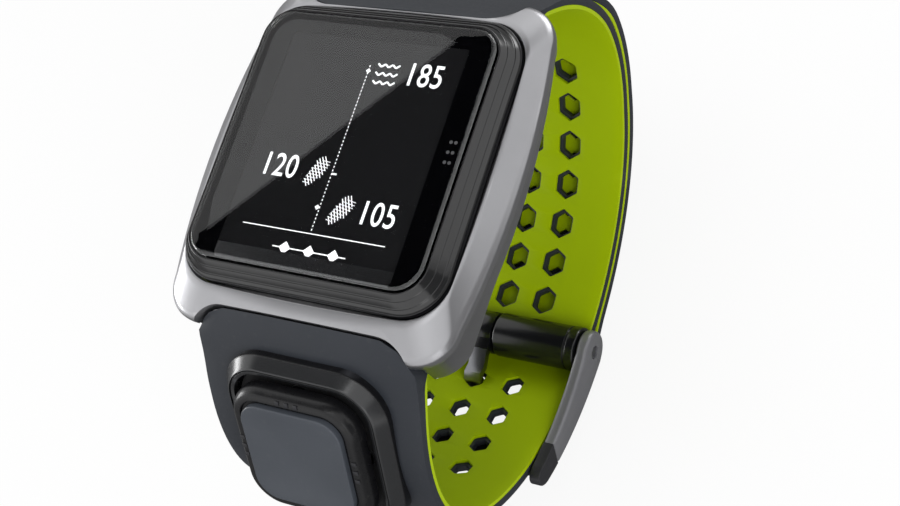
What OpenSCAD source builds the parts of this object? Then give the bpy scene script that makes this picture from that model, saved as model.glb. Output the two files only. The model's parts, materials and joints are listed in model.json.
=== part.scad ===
// Golf GPS watch: a square head on a two-layer rubber strap that is closed by a hinged buckle.
// +Y points to 12 o'clock, +X to 3 o'clock and +Z out of the display. The origin is the
// middle of the flat face that lies on the wrist. All sizes are in millimetres.

/* [Head] */
// Height of the head, from the wrist face to the top of the glass
head_t = 13.1; // [12.6:0.1:18]
// Breadth of the glass
glass_w = 28.8; // [27.6:0.1:29.4]
// Length of the glass
glass_l = 29.1; // [28.9:0.1:30]
// Thickness of the glass
glass_t = 1.2; // [0.8:0.1:1.6]
// Corner radius of the glass
glass_r = 3; // [2:0.1:4]
// Breadth of the black bezel
bezel_w = 32.6; // [32:0.1:34]
// Length of the black bezel
bezel_l = 33.0; // [32.4:0.1:34]
// Corner radius of the black bezel
bezel_r = 5; // [4:0.1:6]
// Height of one of the bezel's steps
bezel_step = 0.75; // [0.5:0.05:0.9]
// Breadth of the display module
panel_w = 23.8; // [22:0.1:24]
// Length of the display module
panel_l = 27.8; // [26:0.1:28]
// Breadth of the metal frame along its ridge, at the corners
frame_w = 35.6; // [35.4:0.1:44]
// Length of the metal frame along its ridge, at the corners
frame_l = 40.5; // [40:0.1:50]
// How far each side of the metal frame bows outwards
frame_bulge = 1.4; // [1:0.1:2]
// Corner radius of the metal frame
frame_r = 4.5; // [3:0.1:6]
// Height of the metal frame's side wall at the 6 o'clock end
frame_side = 3.4; // [2.5:0.1:4]
// Thickness of the metal frame's walls
frame_wall = 1.2; // [1:0.1:1.6]
// Breadth of the frame's end strips, between the bezel and the strap
strip_w = 2.1; // [1.8:0.1:2.5]
// Drop from the top of the glass to the frame's inner edge
lip_drop = 2.84; // [2.5:0.1:3.2]
// Drop from the top of the glass to the frame's ridge
ridge_drop = 4.84; // [4.4:0.1:5.4]
// Thickness of the case wall
case_wall = 1.3; // [1:0.1:1.6]
// Thickness of the rear cover's rim
cover_t = 1.0; // [0.9:0.1:1.4]
// Radius of the case screws' shanks
screw_r = 0.7; // [0.5:0.05:0.75]
// Thickness of the battery cell
battery_t = 3.6; // [2.5:0.1:3.8]

/* [Straps] */
// Breadth of the straps
strap_w = 27.4; // [22:0.1:27.6]
// Narrowing of the straps on each side, from the head to the buckle
strap_taper = 1.1; // [0.5:0.1:1.5]
// Thickness of the coloured inner layer
lining_t = 0.5; // [0.4:0.05:0.8]
// Thickness of the dark outer layer
outer_t = 0.95; // [0.8:0.05:1.2]
// Half of the inside breadth of the wrist loop, from 6 to 12 o'clock
loop_half = 29.3; // [28:0.1:36]
// Shift of the loop towards 6 o'clock
loop_shift = 1.1; // [0:0.1:2]
// Depth of the loop's widest line below the wrist face
waist_z = 11.5; // [10:0.1:14]
// Height of the loop's lower half
loop_depth = 21.7; // [20:0.1:30]
// Drop of the loop's end below the frame's ridge at 12 o'clock
end_drop_12 = 2; // [1.8:0.05:2.2]
// Drop of the loop's end below the frame's ridge at 6 o'clock
end_drop_6 = 3.2; // [3:0.05:3.4]
// Angle above the waist at which the loose end of the strap stops
tail_angle = 17; // [0:1:20]
// Breadth of a strap hole across its flats
hole_w = 2.8; // [2.4:0.1:3.2]
// Distance between the columns of holes
hole_col = 5.2; // [4.5:0.1:6]
// Distance between the rows of holes along the strap
hole_pitch = 5; // [4.5:0.1:6]
// Breadth across its flats of a hole that takes the tang
tang_hole_w = 2.4; // [2.4:0.1:2.8]
// Distance between the rows of holes for the tang
tang_pitch = 4.7; // [4.5:0.1:5]

/* [Buckle] */
// Diameter of the hinge barrel
barrel_d = 5.6; // [5:0.1:6.4]
// Distance of the hinge barrel from the middle of the head, towards 6 o'clock
barrel_y = 5; // [3:0.1:7]
// Diameter of the hinge pin
pin_d = 1.5; // [1.2:0.1:1.8]
// Thickness of the buckle's side arms
arm_t = 1.5; // [1.2:0.1:2.2]
// Radius of the arms' round ends
knuckle_r = 2.6; // [2.4:0.1:3]
// Height of the arms beyond the strap's inner surface
arm_out = 3.1; // [2.9:0.1:3.6]
// Breadth of the tang
tang_w = 2.2; // [1.6:0.1:2.3]
// Thickness of the tang
tang_t = 1.0; // [0.8:0.05:1.2]

/* [Button] */
// Breadth of the button housing
pod_w = 20.6; // [20:0.1:24]
// Breadth of the rocking cap
cap_w = 16.5; // [16:0.1:17]
// Breadth of the pad on the cap
pad_w = 12.6; // [11:0.1:13.4]
// Distance along the strap from the frame's end strip to the middle of the button
pod_reach = 10.8; // [10:0.1:14]
// Height of the housing's rim above the strap
pod_rim = 1.7; // [1.5:0.1:2]
// Height of the pad's face above the strap
pad_h = 4.0; // [3.9:0.1:4.5]
// Diameter of the gimbal's trunnions
trunnion_d = 0.8; // [0.6:0.05:0.9]

/* [Hidden] */
$fn = 64;
CLEAR = 0.05;          // running clearance of pins and drop-in pieces
GAP = 0.3;             // space between pieces that move past each other
EPS = 0.01;            // overlap of two solids of the same piece
STRAP_T = lining_t + outer_t;
LOOP_POWER = 1.8;      // below 2 the upper half of the loop is straighter than an ellipse

// Levels of the head, from the top down
glass_z = head_t - glass_t;
gasket_t = 0.15;
shelf_z = glass_z - gasket_t;
lip_z = head_t - lip_drop;
ridge_z = head_t - ridge_drop;
panel_t = 1.4;
light_t = 0.8;
panel_z = shelf_z - CLEAR - panel_t;
light_z = panel_z - CLEAR - light_t;
case_top = lip_z - 1.66;
board_t = 0.8;
board_z = case_top - 0.4 - board_t;
frame_low = ridge_z - frame_side;
side_slope = 1.4;      // the side wall's lower edge rises by this much towards 12 o'clock

// Outlines of the head
case_w = bezel_w - 1.4;
case_l = bezel_l - 1.4;
shelf_t = 1.2;
screw_x = case_w / 2 - 3.6;
screw_y = case_l / 2 - 3.6;
plug_w = 2 * screw_x - 4;
plug_l = 2 * screw_y - 4;
frame_y = -0.35;

// ---- the wrist loop: t is 0 at the 12 o'clock waist, 90 underneath, 180 at the 6 o'clock waist
function rise(t) = t < 90 ? rise_12 : rise_6;
function end_rise(y, drop) = (ridge_z - drop + waist_z) / pow(sin(end_angle(y)), 2 / LOOP_POWER);
function side(v) = v < 0 ? -1 : 1;
function loop_point(t) =
    t >= 0 && t <= 180
    ? [loop_half * cos(t) - loop_shift, -waist_z - loop_depth * sin(t)]
    : [side(cos(t)) * loop_half * pow(abs(cos(t)), 2 / LOOP_POWER) - loop_shift,
       rise(t) * pow(abs(sin(t)), 2 / LOOP_POWER) - waist_z];
function unit(v) = v / norm(v);
function loop_dir(t) = unit(loop_point(t + 0.2) - loop_point(t - 0.2));
function loop_out(t) = let (d = loop_dir(t)) [-d[1], d[0]];
function off_point(t, d) = loop_point(t) + d * loop_out(t);
// Angle above the waist at which the loop is this far from the middle of the head
function end_angle(y) = acos(pow(y / loop_half, LOOP_POWER / 2));

notch_y = bezel_l / 2 + strip_w + 0.15;
bar_y = bezel_l / 2 + 1.5;
bar_z = ridge_z - 2.6;
slot_top = bar_z + 1.5;    // below this the frame's notch has square sides
t12 = -end_angle(notch_y + loop_shift);
t6 = 180 + end_angle(notch_y - loop_shift);
rise_12 = end_rise(notch_y + loop_shift, end_drop_12);
rise_6 = end_rise(notch_y - loop_shift, end_drop_6);
bars = [[bar_y, bar_z], [-bar_y, bar_z]];

// Distance along the loop, from the 12 o'clock bar, against t
T_STEP = 1;
t_list = [for (t = t12; t <= t6; t = t + T_STEP) t];
function run_to(k) =
    k == 0 ? [0] : let (r = run_to(k - 1))
    concat(r, [r[k - 1] + norm(loop_point(t_list[k]) - loop_point(t_list[k - 1]))]);
runs = run_to(len(t_list) - 1);
t_by_run = [for (k = [0 : len(t_list) - 1]) [runs[k], t_list[k]]];
run_by_t = [for (k = [0 : len(t_list) - 1]) [t_list[k], runs[k]]];
function t_at(s) = lookup(s, t_by_run);
function run_at(t) = lookup(t, run_by_t);

// Barrel of the buckle: the strap with the holes passes outside it
barrel_r = barrel_d / 2;
t_barrel = acos(-(barrel_y - loop_shift) / loop_half);
barrel_c = off_point(t_barrel, -0.5);
TAIL_OFF = STRAP_T + 0.15;
UNDER_OFF = barrel_r - 0.5 + 0.12;
RAMP_IN = 14;
RAMP_OUT = 12;
function ease(f) = f <= 0 ? 0 : f >= 1 ? 1 : f * f * (3 - 2 * f);
function lower_off(t) =
    t >= t_barrel
    ? UNDER_OFF * ease((t_barrel + RAMP_IN - t) / RAMP_IN)
    : UNDER_OFF + (TAIL_OFF - UNDER_OFF) * ease((t_barrel - t) / RAMP_OUT);

// Rows of holes, by distance along the loop
UPPER_ROWS = 7;
LOWER_ROWS = 4;
TAIL_ROWS = 8;
run_barrel = run_at(t_barrel);
upper_first = run_barrel - 5.6;
lower_first = run_barrel + 6.3;

// ---- shared shapes
module plate(w, l, r, z0, z1) {
    translate([0, 0, z0]) linear_extrude(z1 - z0) square([w - 2 * r, l], center = true);
    translate([0, 0, z0]) linear_extrude(z1 - z0) square([w, l - 2 * r], center = true);
    for (x = [-1, 1], y = [-1, 1])
        translate([x * (w / 2 - r), y * (l / 2 - r), z0]) cylinder(r = r, h = z1 - z0);
}

module ring(w, l, r, wall, z0, z1) {
    difference() {
        plate(w, l, r, z0, z1);
        plate(w - 2 * wall, l - 2 * wall, max(r - wall, 0.3), z0 - 1, z1 + 1);
    }
}

// Points of a rounded oblong whose sides bow outwards
ARC_N = 6;
SIDE_N = 10;
function bow(u, b) = b * (1 - u * u);
function quarter(cx, cy, r, a0) =
    [for (k = [0 : ARC_N]) [cx + r * cos(a0 + 90 * k / ARC_N), cy + r * sin(a0 + 90 * k / ARC_N)]];
function edge(p, q, b, n) =
    [for (k = [1 : n - 1]) let (u = 2 * k / n - 1)
        p + (q - p) * k / n + b * (1 - u * u) * unit([q[1] - p[1], p[0] - q[0]])];
function outline(w, l, r, b) = let (x = w / 2 - r, y = l / 2 - r) concat(
    quarter(x, y, r, 0), edge([x, y + r], [-x, y + r], b, SIDE_N),
    quarter(-x, y, r, 90), edge([-x - r, y], [-x - r, -y], b, SIDE_N),
    quarter(-x, -y, r, 180), edge([-x, -y - r], [x, -y - r], b, SIDE_N),
    quarter(x, -y, r, 270), edge([x + r, -y], [x + r, y], b, SIDE_N));

// Solid through a stack of outlines: each level is [z, width, length, corner, bow, y shift]
module loft(levels) {
    rings = [for (v = levels) [for (p = outline(v[1], v[2], v[3], v[4])) [p[0], p[1] + v[5], v[0]]]];
    n = len(rings[0]);
    m = len(rings);
    polyhedron(
        points = [for (r = rings) each r],
        faces = concat(
            [[for (k = [0 : n - 1]) k]],
            [[for (k = [n - 1 : -1 : 0]) (m - 1) * n + k]],
            [for (j = [0 : m - 2], k = [0 : n - 1]) let (a = j * n, c = (k + 1) % n)
                [a + k, a + n + k, a + n + c, a + c]]),
        convexity = 4);
}

// Solid that is drawn in the YZ plane and runs along X
module along_x(w) {
    rotate([90, 0, 90]) linear_extrude(w, center = true) children();
}

module rod_x(r, w) {
    rotate([0, 90, 0]) cylinder(r = r, h = w, center = true);
}

// Band between two distances from the loop's inner surface
BAND_STEP = 3;
function span(ta, tb) = let (n = ceil((tb - ta) / BAND_STEP)) [for (k = [0 : n]) ta + (tb - ta) * k / n];
module band(ta, tb, d0, d1, w) {
    s = span(ta, tb);
    m = len(s) - 1;
    along_x(w) polygon(concat(
        [for (t = s) off_point(t, d0)],
        [for (k = [m : -1 : 0]) off_point(s[k], d1)]));
}
// The same, measured from the lower strap's own path
module lower_band(ta, tb, d0, d1, w) {
    s = span(ta, tb);
    m = len(s) - 1;
    along_x(w) polygon(concat(
        [for (t = s) off_point(t, lower_off(t) + d0)],
        [for (k = [m : -1 : 0]) off_point(s[k], lower_off(s[k]) + d1)]));
}

// Six-sided hole through the strap at t: its points lie along the strap
module strap_hole(t, x, w) {
    p = loop_point(t);
    d = loop_dir(t);
    translate([x, p[0], p[1]]) rotate([atan2(d[1], d[0]), 0, 0])
        rotate([0, 0, 90]) cylinder(d = w / cos(30), h = 14, center = true, $fn = 6);
}

module hole_rows(first, step, rows, w) {
    for (k = [0 : rows - 1], column = [-1, 0, 1])
        strap_hole(t_at(first + step * k), column * hole_col, w);
}

module upper_holes() {
    hole_rows(upper_first, -hole_pitch, UPPER_ROWS, hole_w);
}

module lower_holes() {
    hole_rows(lower_first, tang_pitch, LOWER_ROWS, tang_hole_w);
}

module tail_holes() {
    hole_rows(upper_first - hole_pitch / 2, -hole_pitch, TAIL_ROWS, hole_w);
}

module at_bar(p) {
    translate([0, p[0], p[1]]) children();
}

module at_barrel() {
    at_bar(barrel_c) children();
}

// ---- the button's own frame: X across, Y up the slope, Z out of the strap
t_pod = t_at(run_at(t6) - pod_reach);
pod_c = off_point(t_pod, STRAP_T);
pod_n = loop_out(t_pod);
pod_tilt = atan2(-pod_n[0], pod_n[1]);
module at_pod() {
    translate([0, pod_c[0], pod_c[1]]) rotate([pod_tilt, 0, 0]) children();
}

cavity_w = cap_w + 2 * GAP;
floor_z = 0.2;
pod_board_t = 0.4;
dome_x = 6.45;
dome_r = 1.3;
dome_h = 0.35;
pivot_z = 1.75;
post_x = 4.5;
ring_r = 3.6;
cap_top = 3.5;
cap_skin = 0.75;
POD_R = 5.5;
CAP_R = 4.1;
PAD_R = 2.6;

// ==== head ====
module display_glass() {
    color("black") {
        plate(glass_w, glass_l, glass_r, glass_z, head_t - 0.4);
        plate(glass_w - 0.4, glass_l - 0.4, glass_r - 0.2, head_t - 0.4 - EPS, head_t);
    }
}

module glass_gasket() {
    color("dimgray") difference() {
        plate(glass_w - 0.2, glass_l - 0.2, glass_r, shelf_z, glass_z);
        plate(panel_w + 0.4, panel_l + 0.4, 1, shelf_z - 1, glass_z + 1);
    }
}

module display_panel() {
    color("darkslategray") plate(panel_w, panel_l, 0.8, panel_z, panel_z + panel_t);
}

module backlight_plate() {
    color("white") plate(panel_w, panel_l, 0.8, light_z, light_z + light_t);
}

module display_carrier() {
    color("gray") ring(panel_w, panel_l, 0.8, 2, board_z + board_t, light_z);
}

module bezel() {
    z1 = lip_z + bezel_step;
    z2 = z1 + bezel_step;
    color([0.08, 0.08, 0.09]) difference() {
        union() {
            plate(bezel_w, bezel_l, bezel_r, case_top, z1);
            plate(bezel_w - 1.1, bezel_l - 1.1, bezel_r - 0.5, z1 - EPS, z2);
            plate(bezel_w - 2.2, bezel_l - 2.2, bezel_r - 1, z2 - EPS, head_t - 0.5);
        }
        plate(panel_w + 0.3, panel_l + 0.3, 1, case_top - 1, head_t);
        plate(glass_w + 2 * CLEAR, glass_l + 2 * CLEAR, glass_r, shelf_z, head_t + 1);
    }
}

module module_case() {
    color([0.12, 0.12, 0.13]) difference() {
        union() {
            plate(case_w - 1.2, case_l - 1.2, bezel_r - 0.6, cover_t, cover_t + shelf_t);
            ring(case_w, case_l, bezel_r, case_wall, cover_t + shelf_t - EPS, case_top);
            for (x = [-1, 1], y = [-1, 1])
                translate([x * screw_x, y * screw_y, cover_t]) cylinder(r = 1.7, h = board_z - cover_t);
        }
        plate(plug_w + 2 * CLEAR, plug_l + 2 * CLEAR, 2, 0, cover_t + shelf_t + EPS);
        for (x = [-1, 1], y = [-1, 1])
            translate([x * screw_x, y * screw_y, 0]) cylinder(r = screw_r + CLEAR / 2, h = cover_t + 4);
    }
}

module rear_cover() {
    color([0.1, 0.1, 0.11]) difference() {
        union() {
            plate(case_w - 3.4, case_l - 3.4, bezel_r - 1.6, 0, 0.4);
            plate(case_w - 2.4, case_l - 2.4, bezel_r - 1.2, 0.4 - EPS, cover_t);
            plate(plug_w, plug_l, 2, cover_t - EPS, cover_t + shelf_t - 0.2);
        }
        ring(case_w - 3, case_l - 3, bezel_r - 1.5, 0.5, cover_t - 0.4, cover_t + 1);
        for (x = [-1, 1], y = [-1, 1]) translate([x * screw_x, y * screw_y, 0]) {
            cylinder(r = screw_r + CLEAR, h = 9, center = true);
            cylinder(r = screw_r + 0.65, h = 1.0, center = true);
        }
        for (k = [-1.5 : 1 : 1.5]) translate([3 * k, contact_y, 0])
            cylinder(r = contact_r + CLEAR / 2, h = 9, center = true);
    }
}
contact_r = 0.8;
contact_y = 6;

module case_seal() {
    color("black") ring(case_w - 3, case_l - 3, bezel_r - 1.5, 0.5, cover_t - 0.4, cover_t);
}

module case_screws() {
    color("silver") for (x = [-1, 1], y = [-1, 1]) translate([x * screw_x, y * screw_y, 0]) difference() {
        union() {
            translate([0, 0, 0.1]) cylinder(r = screw_r + 0.6, h = 0.4);
            translate([0, 0, 0.1]) cylinder(r = screw_r, h = cover_t + 3.4);
        }
        translate([0, 0, 0]) cube([1.4, 0.3, 0.5], center = true);
    }
}

module charging_contacts() {
    color("gold") for (k = [-1.5 : 1 : 1.5]) translate([3 * k, contact_y, 0.1])
        cylinder(r = contact_r, h = cover_t + shelf_t - 0.1);
}

module main_board() {
    color("darkgreen") plate(case_w - 2 * case_wall - 0.4, case_l - 2 * case_wall - 0.4, 3.6, board_z,
                             board_z + board_t);
}

battery_z = cover_t + shelf_t;
battery_w = plug_w - 1.4;
battery_l = 17;
battery_y = -3.5;
module battery() {
    color("lightsteelblue") translate([0, battery_y, 0])
        plate(battery_w, battery_l, 1, battery_z, battery_z + battery_t);
}

module shield_can() {
    color("silver") translate([-2, battery_y, 0])
        plate(12, 11, 0.6, battery_z + battery_t + CLEAR, board_z);
}

module gps_antenna() {
    color("tan") translate([0, screw_y - 2.6, 0]) plate(12, 7.4, 0.5, board_z - 1.4, board_z);
}

motor_r = 1.6;
module vibration_motor() {
    color("lightgray") translate([0, screw_y - 2.2, battery_z + motor_r]) rod_x(motor_r, 9);
}

// Room for the strap's root in the frame's ends, with round corners
NOTCH_GAP = 0.15;
NOTCH_R = 4.4;
module notch(k, gap) {
    translate([0, k * (notch_y - gap + frame_l / 2), 0])
        plate(strap_w + 0.4 + 2 * gap, frame_l, NOTCH_R, -1, head_t + 1);
}

module frame_shell() {
    w = frame_w;
    l = frame_l;
    hole = 2 * CLEAR;
    difference() {
        loft([[frame_low, w - 0.7, l - 0.7, frame_r - 0.3, frame_bulge, frame_y],
              [ridge_z - 0.9, w, l, frame_r, frame_bulge, frame_y],
              [ridge_z, w - 0.1, l - 0.1, frame_r, frame_bulge, frame_y],
              [ridge_z + 0.45, w - 0.7, l - 0.8, frame_r, frame_bulge, frame_y],
              [lip_z, bezel_w + 0.3, bezel_l + 0.3, bezel_r, 0.25, 0]]);
        loft([[frame_low - 1, w - 2 * frame_wall, l - 2 * frame_wall, frame_r - 1, frame_bulge, frame_y],
              [ridge_z - 0.6, w - 2 * frame_wall, l - 2 * frame_wall, frame_r - 1, frame_bulge, frame_y],
              [lip_z - 0.9, bezel_w - 0.8, bezel_l - 0.8, bezel_r - 1, 0.1, 0]]);
        plate(bezel_w + hole, bezel_l + hole, bezel_r, frame_low - 2, head_t);
        for (k = [-1, 1]) notch(k, NOTCH_GAP);
        cube([strap_w + 0.4 + 2 * NOTCH_GAP, 3 * l, 2 * slot_top], center = true);
        translate([0, l / 2 + frame_y, frame_low + side_slope]) rotate([atan2(side_slope, l), 0, 0])
            translate([0, 0, -4]) cube([2 * w, 3 * l, 8], center = true);
    }
}

module metal_frame() {
    color("silver") frame_shell();
}

ring_w = frame_w - 2 * frame_wall - 0.3;
ring_l = case_l + 1.3;
module cradle_ring() {
    color([0.2, 0.2, 0.21]) difference() {
        plate(ring_w, ring_l, bezel_r, frame_low + 0.4, case_top - CLEAR);
        plate(case_w + 2 * CLEAR, case_l + 2 * CLEAR, bezel_r, 0, head_t);
    }
}

lug_x = strap_w / 2 + GAP;
lug_t = 1.4;
lug_r = 1.2;
spring_r = 0.7;
module strap_lugs() {
    color([0.25, 0.25, 0.26]) for (p = bars, x = [-1, 1]) difference() {
        translate([x * (lug_x + lug_t / 2), p[0], 0]) {
            translate([0, 0, p[1]]) rod_x(lug_r, lug_t);
            translate([0, 0, p[1] + lug_r]) cube([lug_t, 2 * lug_r, 2 * lug_r], center = true);
        }
        at_bar(p) rod_x(spring_r + CLEAR / 2, 4 * lug_x);
        frame_shell();
    }
}

module spring_bars() {
    color("silver") for (p = bars)
        at_bar(p) rod_x(spring_r, 2 * lug_x + 1.2);
}

// ==== straps ====
// Root of a strap: it fills the frame's notch and carries the spring bar
root_in = ring_l / 2 + 0.2;
root_top = ridge_z - 0.15;
root_low = bar_z - spring_r - 0.9;
module root_profile(k, t_join, w) {
    t_end = k > 0 ? t12 : t6;
    seat = [for (t = span(min(t_join, t_end), max(t_join, t_end))) off_point(t, STRAP_T - 0.4)];
    m = len(seat) - 1;
    along_x(w) polygon(concat(
        [[k * root_in, root_low], [k * root_in, root_top - 0.2],
         [k * (notch_y + 0.02), root_top - 0.2], [k * (notch_y + 0.02), root_top + 1.1],
         [k * (notch_y + 1.4), root_top + 0.1], [k * (notch_y + 2.9), root_top - 1.5],
         off_point(t_join, STRAP_T)],
        [for (n = [0 : m]) seat[k > 0 ? m - n : n]],
        [[k * (root_in + 1.6), root_low]]));
}

module strap_root(k, t_join) {
    difference() {
        intersection() {
            root_profile(k, t_join, strap_w);
            union() {
                notch(k, 0);
                plate(strap_w + 1, 2 * notch_y + 0.1, 1, -9, root_top - 0.2);
                translate([0, k * (notch_y + 2), 0]) plate(strap_w, 40, 1, -9, slot_top - NOTCH_GAP);
            }
        }
        at_bar([k * bar_y, bar_z]) rod_x(spring_r + CLEAR, 2 * strap_w);
    }
}

// Room for the straps: their breadth shrinks from the head down to the buckle
strap_b = strap_w - 2 * strap_taper;
TAPER_TOP = 2;
TAPER_REACH = 26;
module tapered() {
    side = [[strap_w / 2, 2 * TAPER_REACH], [strap_w / 2, TAPER_TOP],
        [strap_b / 2, TAPER_TOP - TAPER_REACH], [strap_b / 2, -3 * TAPER_REACH]];
    intersection() {
        union() children();
        rotate([90, 0, 0]) linear_extrude(4 * loop_half, center = true)
            polygon(concat(side, [for (k = [3 : -1 : 0]) [-side[k][0], side[k][1]]]));
    }
}

JOIN_12 = -22;
JOIN_6 = 211;
module strap_upper_outer() {
    color([0.22, 0.23, 0.24]) tapered() {
        difference() {
            band(t12, t_barrel, lining_t, STRAP_T, strap_w);
            at_barrel() rod_x(barrel_r, 2 * strap_w);
            upper_holes();
        }
        strap_root(1, JOIN_12);
    }
}

module strap_upper_lining() {
    color([0.6, 0.72, 0.02]) tapered() difference() {
        band(t12 + 3, t_barrel, 0, lining_t, strap_w);
        at_barrel() rod_x(barrel_r, 2 * strap_w);
        upper_holes();
    }
}

flex_t = 0.12;
flex_w = 5;
module flex_path(d0, d1, w) {
    lower_band(t_pod - 1, t6, d0, d1, w);
}

module strap_lower_outer() {
    color([0.22, 0.23, 0.24]) tapered() {
        difference() {
            lower_band(-tail_angle, t6, lining_t, STRAP_T, strap_w);
            flex_path(lining_t - EPS, lining_t + flex_t + 2 * CLEAR, flex_w + 2 * CLEAR);
            lower_holes();
            tail_holes();
        }
        difference() {
            strap_root(-1, JOIN_6);
            flex_path(lining_t - 1, lining_t + flex_t + 2 * CLEAR, flex_w + 2 * CLEAR);
        }
    }
}

module strap_lower_lining() {
    color([0.6, 0.72, 0.02]) tapered() difference() {
        lower_band(-tail_angle, t6 - 3, 0, lining_t, strap_w);
        lower_holes();
        tail_holes();
    }
}

// ==== buckle ====
ARM_GAP = 0.2;
arm_x = strap_b / 2 + ARM_GAP;
module hinge_barrel() {
    color([0.12, 0.13, 0.15]) at_barrel() difference() {
        rod_x(barrel_r, strap_b);
        rod_x(pin_d / 2 + CLEAR / 2, 2 * strap_w);
        cube([tang_w + 2 * GAP, barrel_d + 1, barrel_d + 1], center = true);
    }
}

module hinge_pin() {
    color("silver") at_barrel() rod_x(pin_d / 2, 2 * (arm_x + arm_t) - 0.4);
}

t_bar = 131;           // angle at which the buckle's arms end
BAR_LEN = 6;           // angle that the end bar takes up
BAR_GAP = 0.4;         // from the strap's outer face to the end bar
ARM_LOW = -3;          // inner edge of the arms at the barrel
ARM_FALL = 3.3;        // how far that edge moves out along the arms
ARM_RISE = 0.9;        // the same for the outer edge
module buckle_frame() {
    s = span(t_barrel, t_bar);
    m = len(s) - 1;
    color([0.36, 0.37, 0.38]) difference() {
        union() {
            for (x = [-1, 1]) translate([x * (arm_x + arm_t / 2), 0, 0]) {
                along_x(arm_t) polygon(concat(
                    [for (k = [0 : m]) off_point(s[k], ARM_LOW + ARM_FALL * k / m)],
                    [for (k = [m : -1 : 0]) off_point(s[k], arm_out - ARM_RISE * (1 - k / m))]));
                at_barrel() rod_x(knuckle_r, arm_t);
            }
            band(t_bar - BAR_LEN, t_bar, STRAP_T + BAR_GAP, arm_out - ARM_GAP, 2 * arm_x + EPS);
        }
        at_barrel() rod_x(pin_d / 2 + CLEAR, 4 * arm_x);
    }
}

// The tang goes round the pin, along the strap's inner side and out through a hole
tang_hole = off_point(t_at(lower_first), 0);
module tang() {
    d = loop_dir(t_at(lower_first));
    n = loop_out(t_at(lower_first));
    top = tang_hole - 0.75 * n;
    tip = tang_hole + (STRAP_T + 0.9) * n;
    root = barrel_c + [0, 1.55];
    bend = root - [2.6, 0];
    h = tang_t / 2;
    color([0.6, 0.6, 0.62]) difference() {
        union() {
            at_barrel() rod_x(pin_d / 2 + 1.2, tang_w);
            along_x(tang_w) polygon([
                root + [0, h], bend + [0, h], top - h * n - 0.6 * d, top + 1.3 * h * d - 0.4 * h * n,
                tip + h * d, tip - h * d, top - h * d + h * n, bend - [0, h], root - [0, h]]);
        }
        at_barrel() rod_x(pin_d / 2 + CLEAR, 4 * tang_w);
    }
}

// ==== button ====
module pod_steps(w, z0) {
    plate(w, w, POD_R, z0, 0.5);
    plate(w - 0.5, w - 0.5, POD_R, 0.5 - EPS, pod_rim - 0.5);
}

module pod_housing() {
    color([0.16, 0.17, 0.19]) difference() {
        union() {
            difference() {
                at_pod() pod_steps(pod_w, -3.2);
                lower_band(t_barrel + RAMP_IN, t6, -20, STRAP_T, 3 * strap_w);
                root_profile(-1, JOIN_6, 3 * strap_w);
                at_pod() plate(cavity_w, cavity_w, CAP_R + GAP, floor_z, 9);
            }
            at_pod() for (x = [-1, 1])
                translate([x * post_x, 0, (floor_z + pivot_z + 0.7) / 2])
                    cube([1.0, 1.8, pivot_z + 0.7 - floor_z + 2 * EPS], center = true);
        }
        at_pod() translate([0, 0, pivot_z]) rod_x(trunnion_d / 2 + CLEAR, 2 * post_x + 2);
    }
}

module pod_collar() {
    color([0.5, 0.52, 0.55]) at_pod() difference() {
        union() {
            plate(pod_w - 1.2, pod_w - 1.2, POD_R - 0.3, pod_rim - 0.5, pod_rim - 0.2);
            plate(pod_w - 1.8, pod_w - 1.8, POD_R - 0.5, pod_rim - 0.2 - EPS, pod_rim);
        }
        plate(cavity_w, cavity_w, CAP_R + GAP, -1, 9);
    }
}

module button_board() {
    color("darkgreen") at_pod() difference() {
        plate(cavity_w - 0.4, cavity_w - 0.4, CAP_R, floor_z, floor_z + pod_board_t);
        for (x = [-1, 1]) translate([x * post_x, 0, 0]) cube([1.4, 2.2, 4], center = true);
    }
}

module four_ways() {
    for (a = [0 : 90 : 270]) rotate([0, 0, a]) translate([dome_x, 0, 0]) children();
}

module dome_switches() {
    color("silver") at_pod() four_ways()
        translate([0, 0, floor_z + pod_board_t]) cylinder(r = dome_r, h = dome_h);
}

module button_flex() {
    color("orange") flex_path(lining_t + 0.03, lining_t + 0.03 + flex_t, flex_w);
}

module gimbal_ring() {
    color("silver") at_pod() translate([0, 0, pivot_z]) difference() {
        union() {
            cylinder(r = ring_r, h = 1.0, center = true);
            rod_x(trunnion_d / 2, 2 * post_x + 1);
            rotate([0, 0, 90]) rod_x(trunnion_d / 2, 2 * post_x + 1);
        }
        cylinder(r = ring_r - 1.1, h = 3, center = true);
    }
}

module button_cap() {
    post_top = cap_top - cap_skin;
    color([0.14, 0.15, 0.17]) at_pod() difference() {
        union() {
            difference() {
                union() {
                    plate(cap_w, cap_w, CAP_R, pivot_z - 0.35, cap_top - 0.5);
                    plate(cap_w - 1, cap_w - 1, CAP_R - 0.4, cap_top - 0.5 - EPS, cap_top);
                }
                plate(cap_w - 1.6, cap_w - 1.6, CAP_R - 0.8, 0, post_top);
            }
            for (y = [-1, 1]) translate([0, y * post_x, (pivot_z - 0.7 + post_top) / 2])
                cube([1.8, 1.0, post_top + 0.7 - pivot_z + 2 * EPS], center = true);
            four_ways() translate([0, 0, floor_z + pod_board_t + dome_h + 0.42])
                cylinder(r = 0.6, h = post_top - floor_z - pod_board_t - dome_h - 0.42 + EPS);
        }
        translate([0, 0, pivot_z]) rotate([0, 0, 90]) rod_x(trunnion_d / 2 + CLEAR, 2 * post_x + 2);
    }
}

module button_pad() {
    color([0.3, 0.33, 0.38]) at_pod() difference() {
        plate(pad_w, pad_w, PAD_R, cap_top, pad_h);
        plate(pad_w - 1.2, pad_w - 1.2, PAD_R - 0.5, pad_h - 0.15, pad_h + 1);
    }
}

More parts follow.
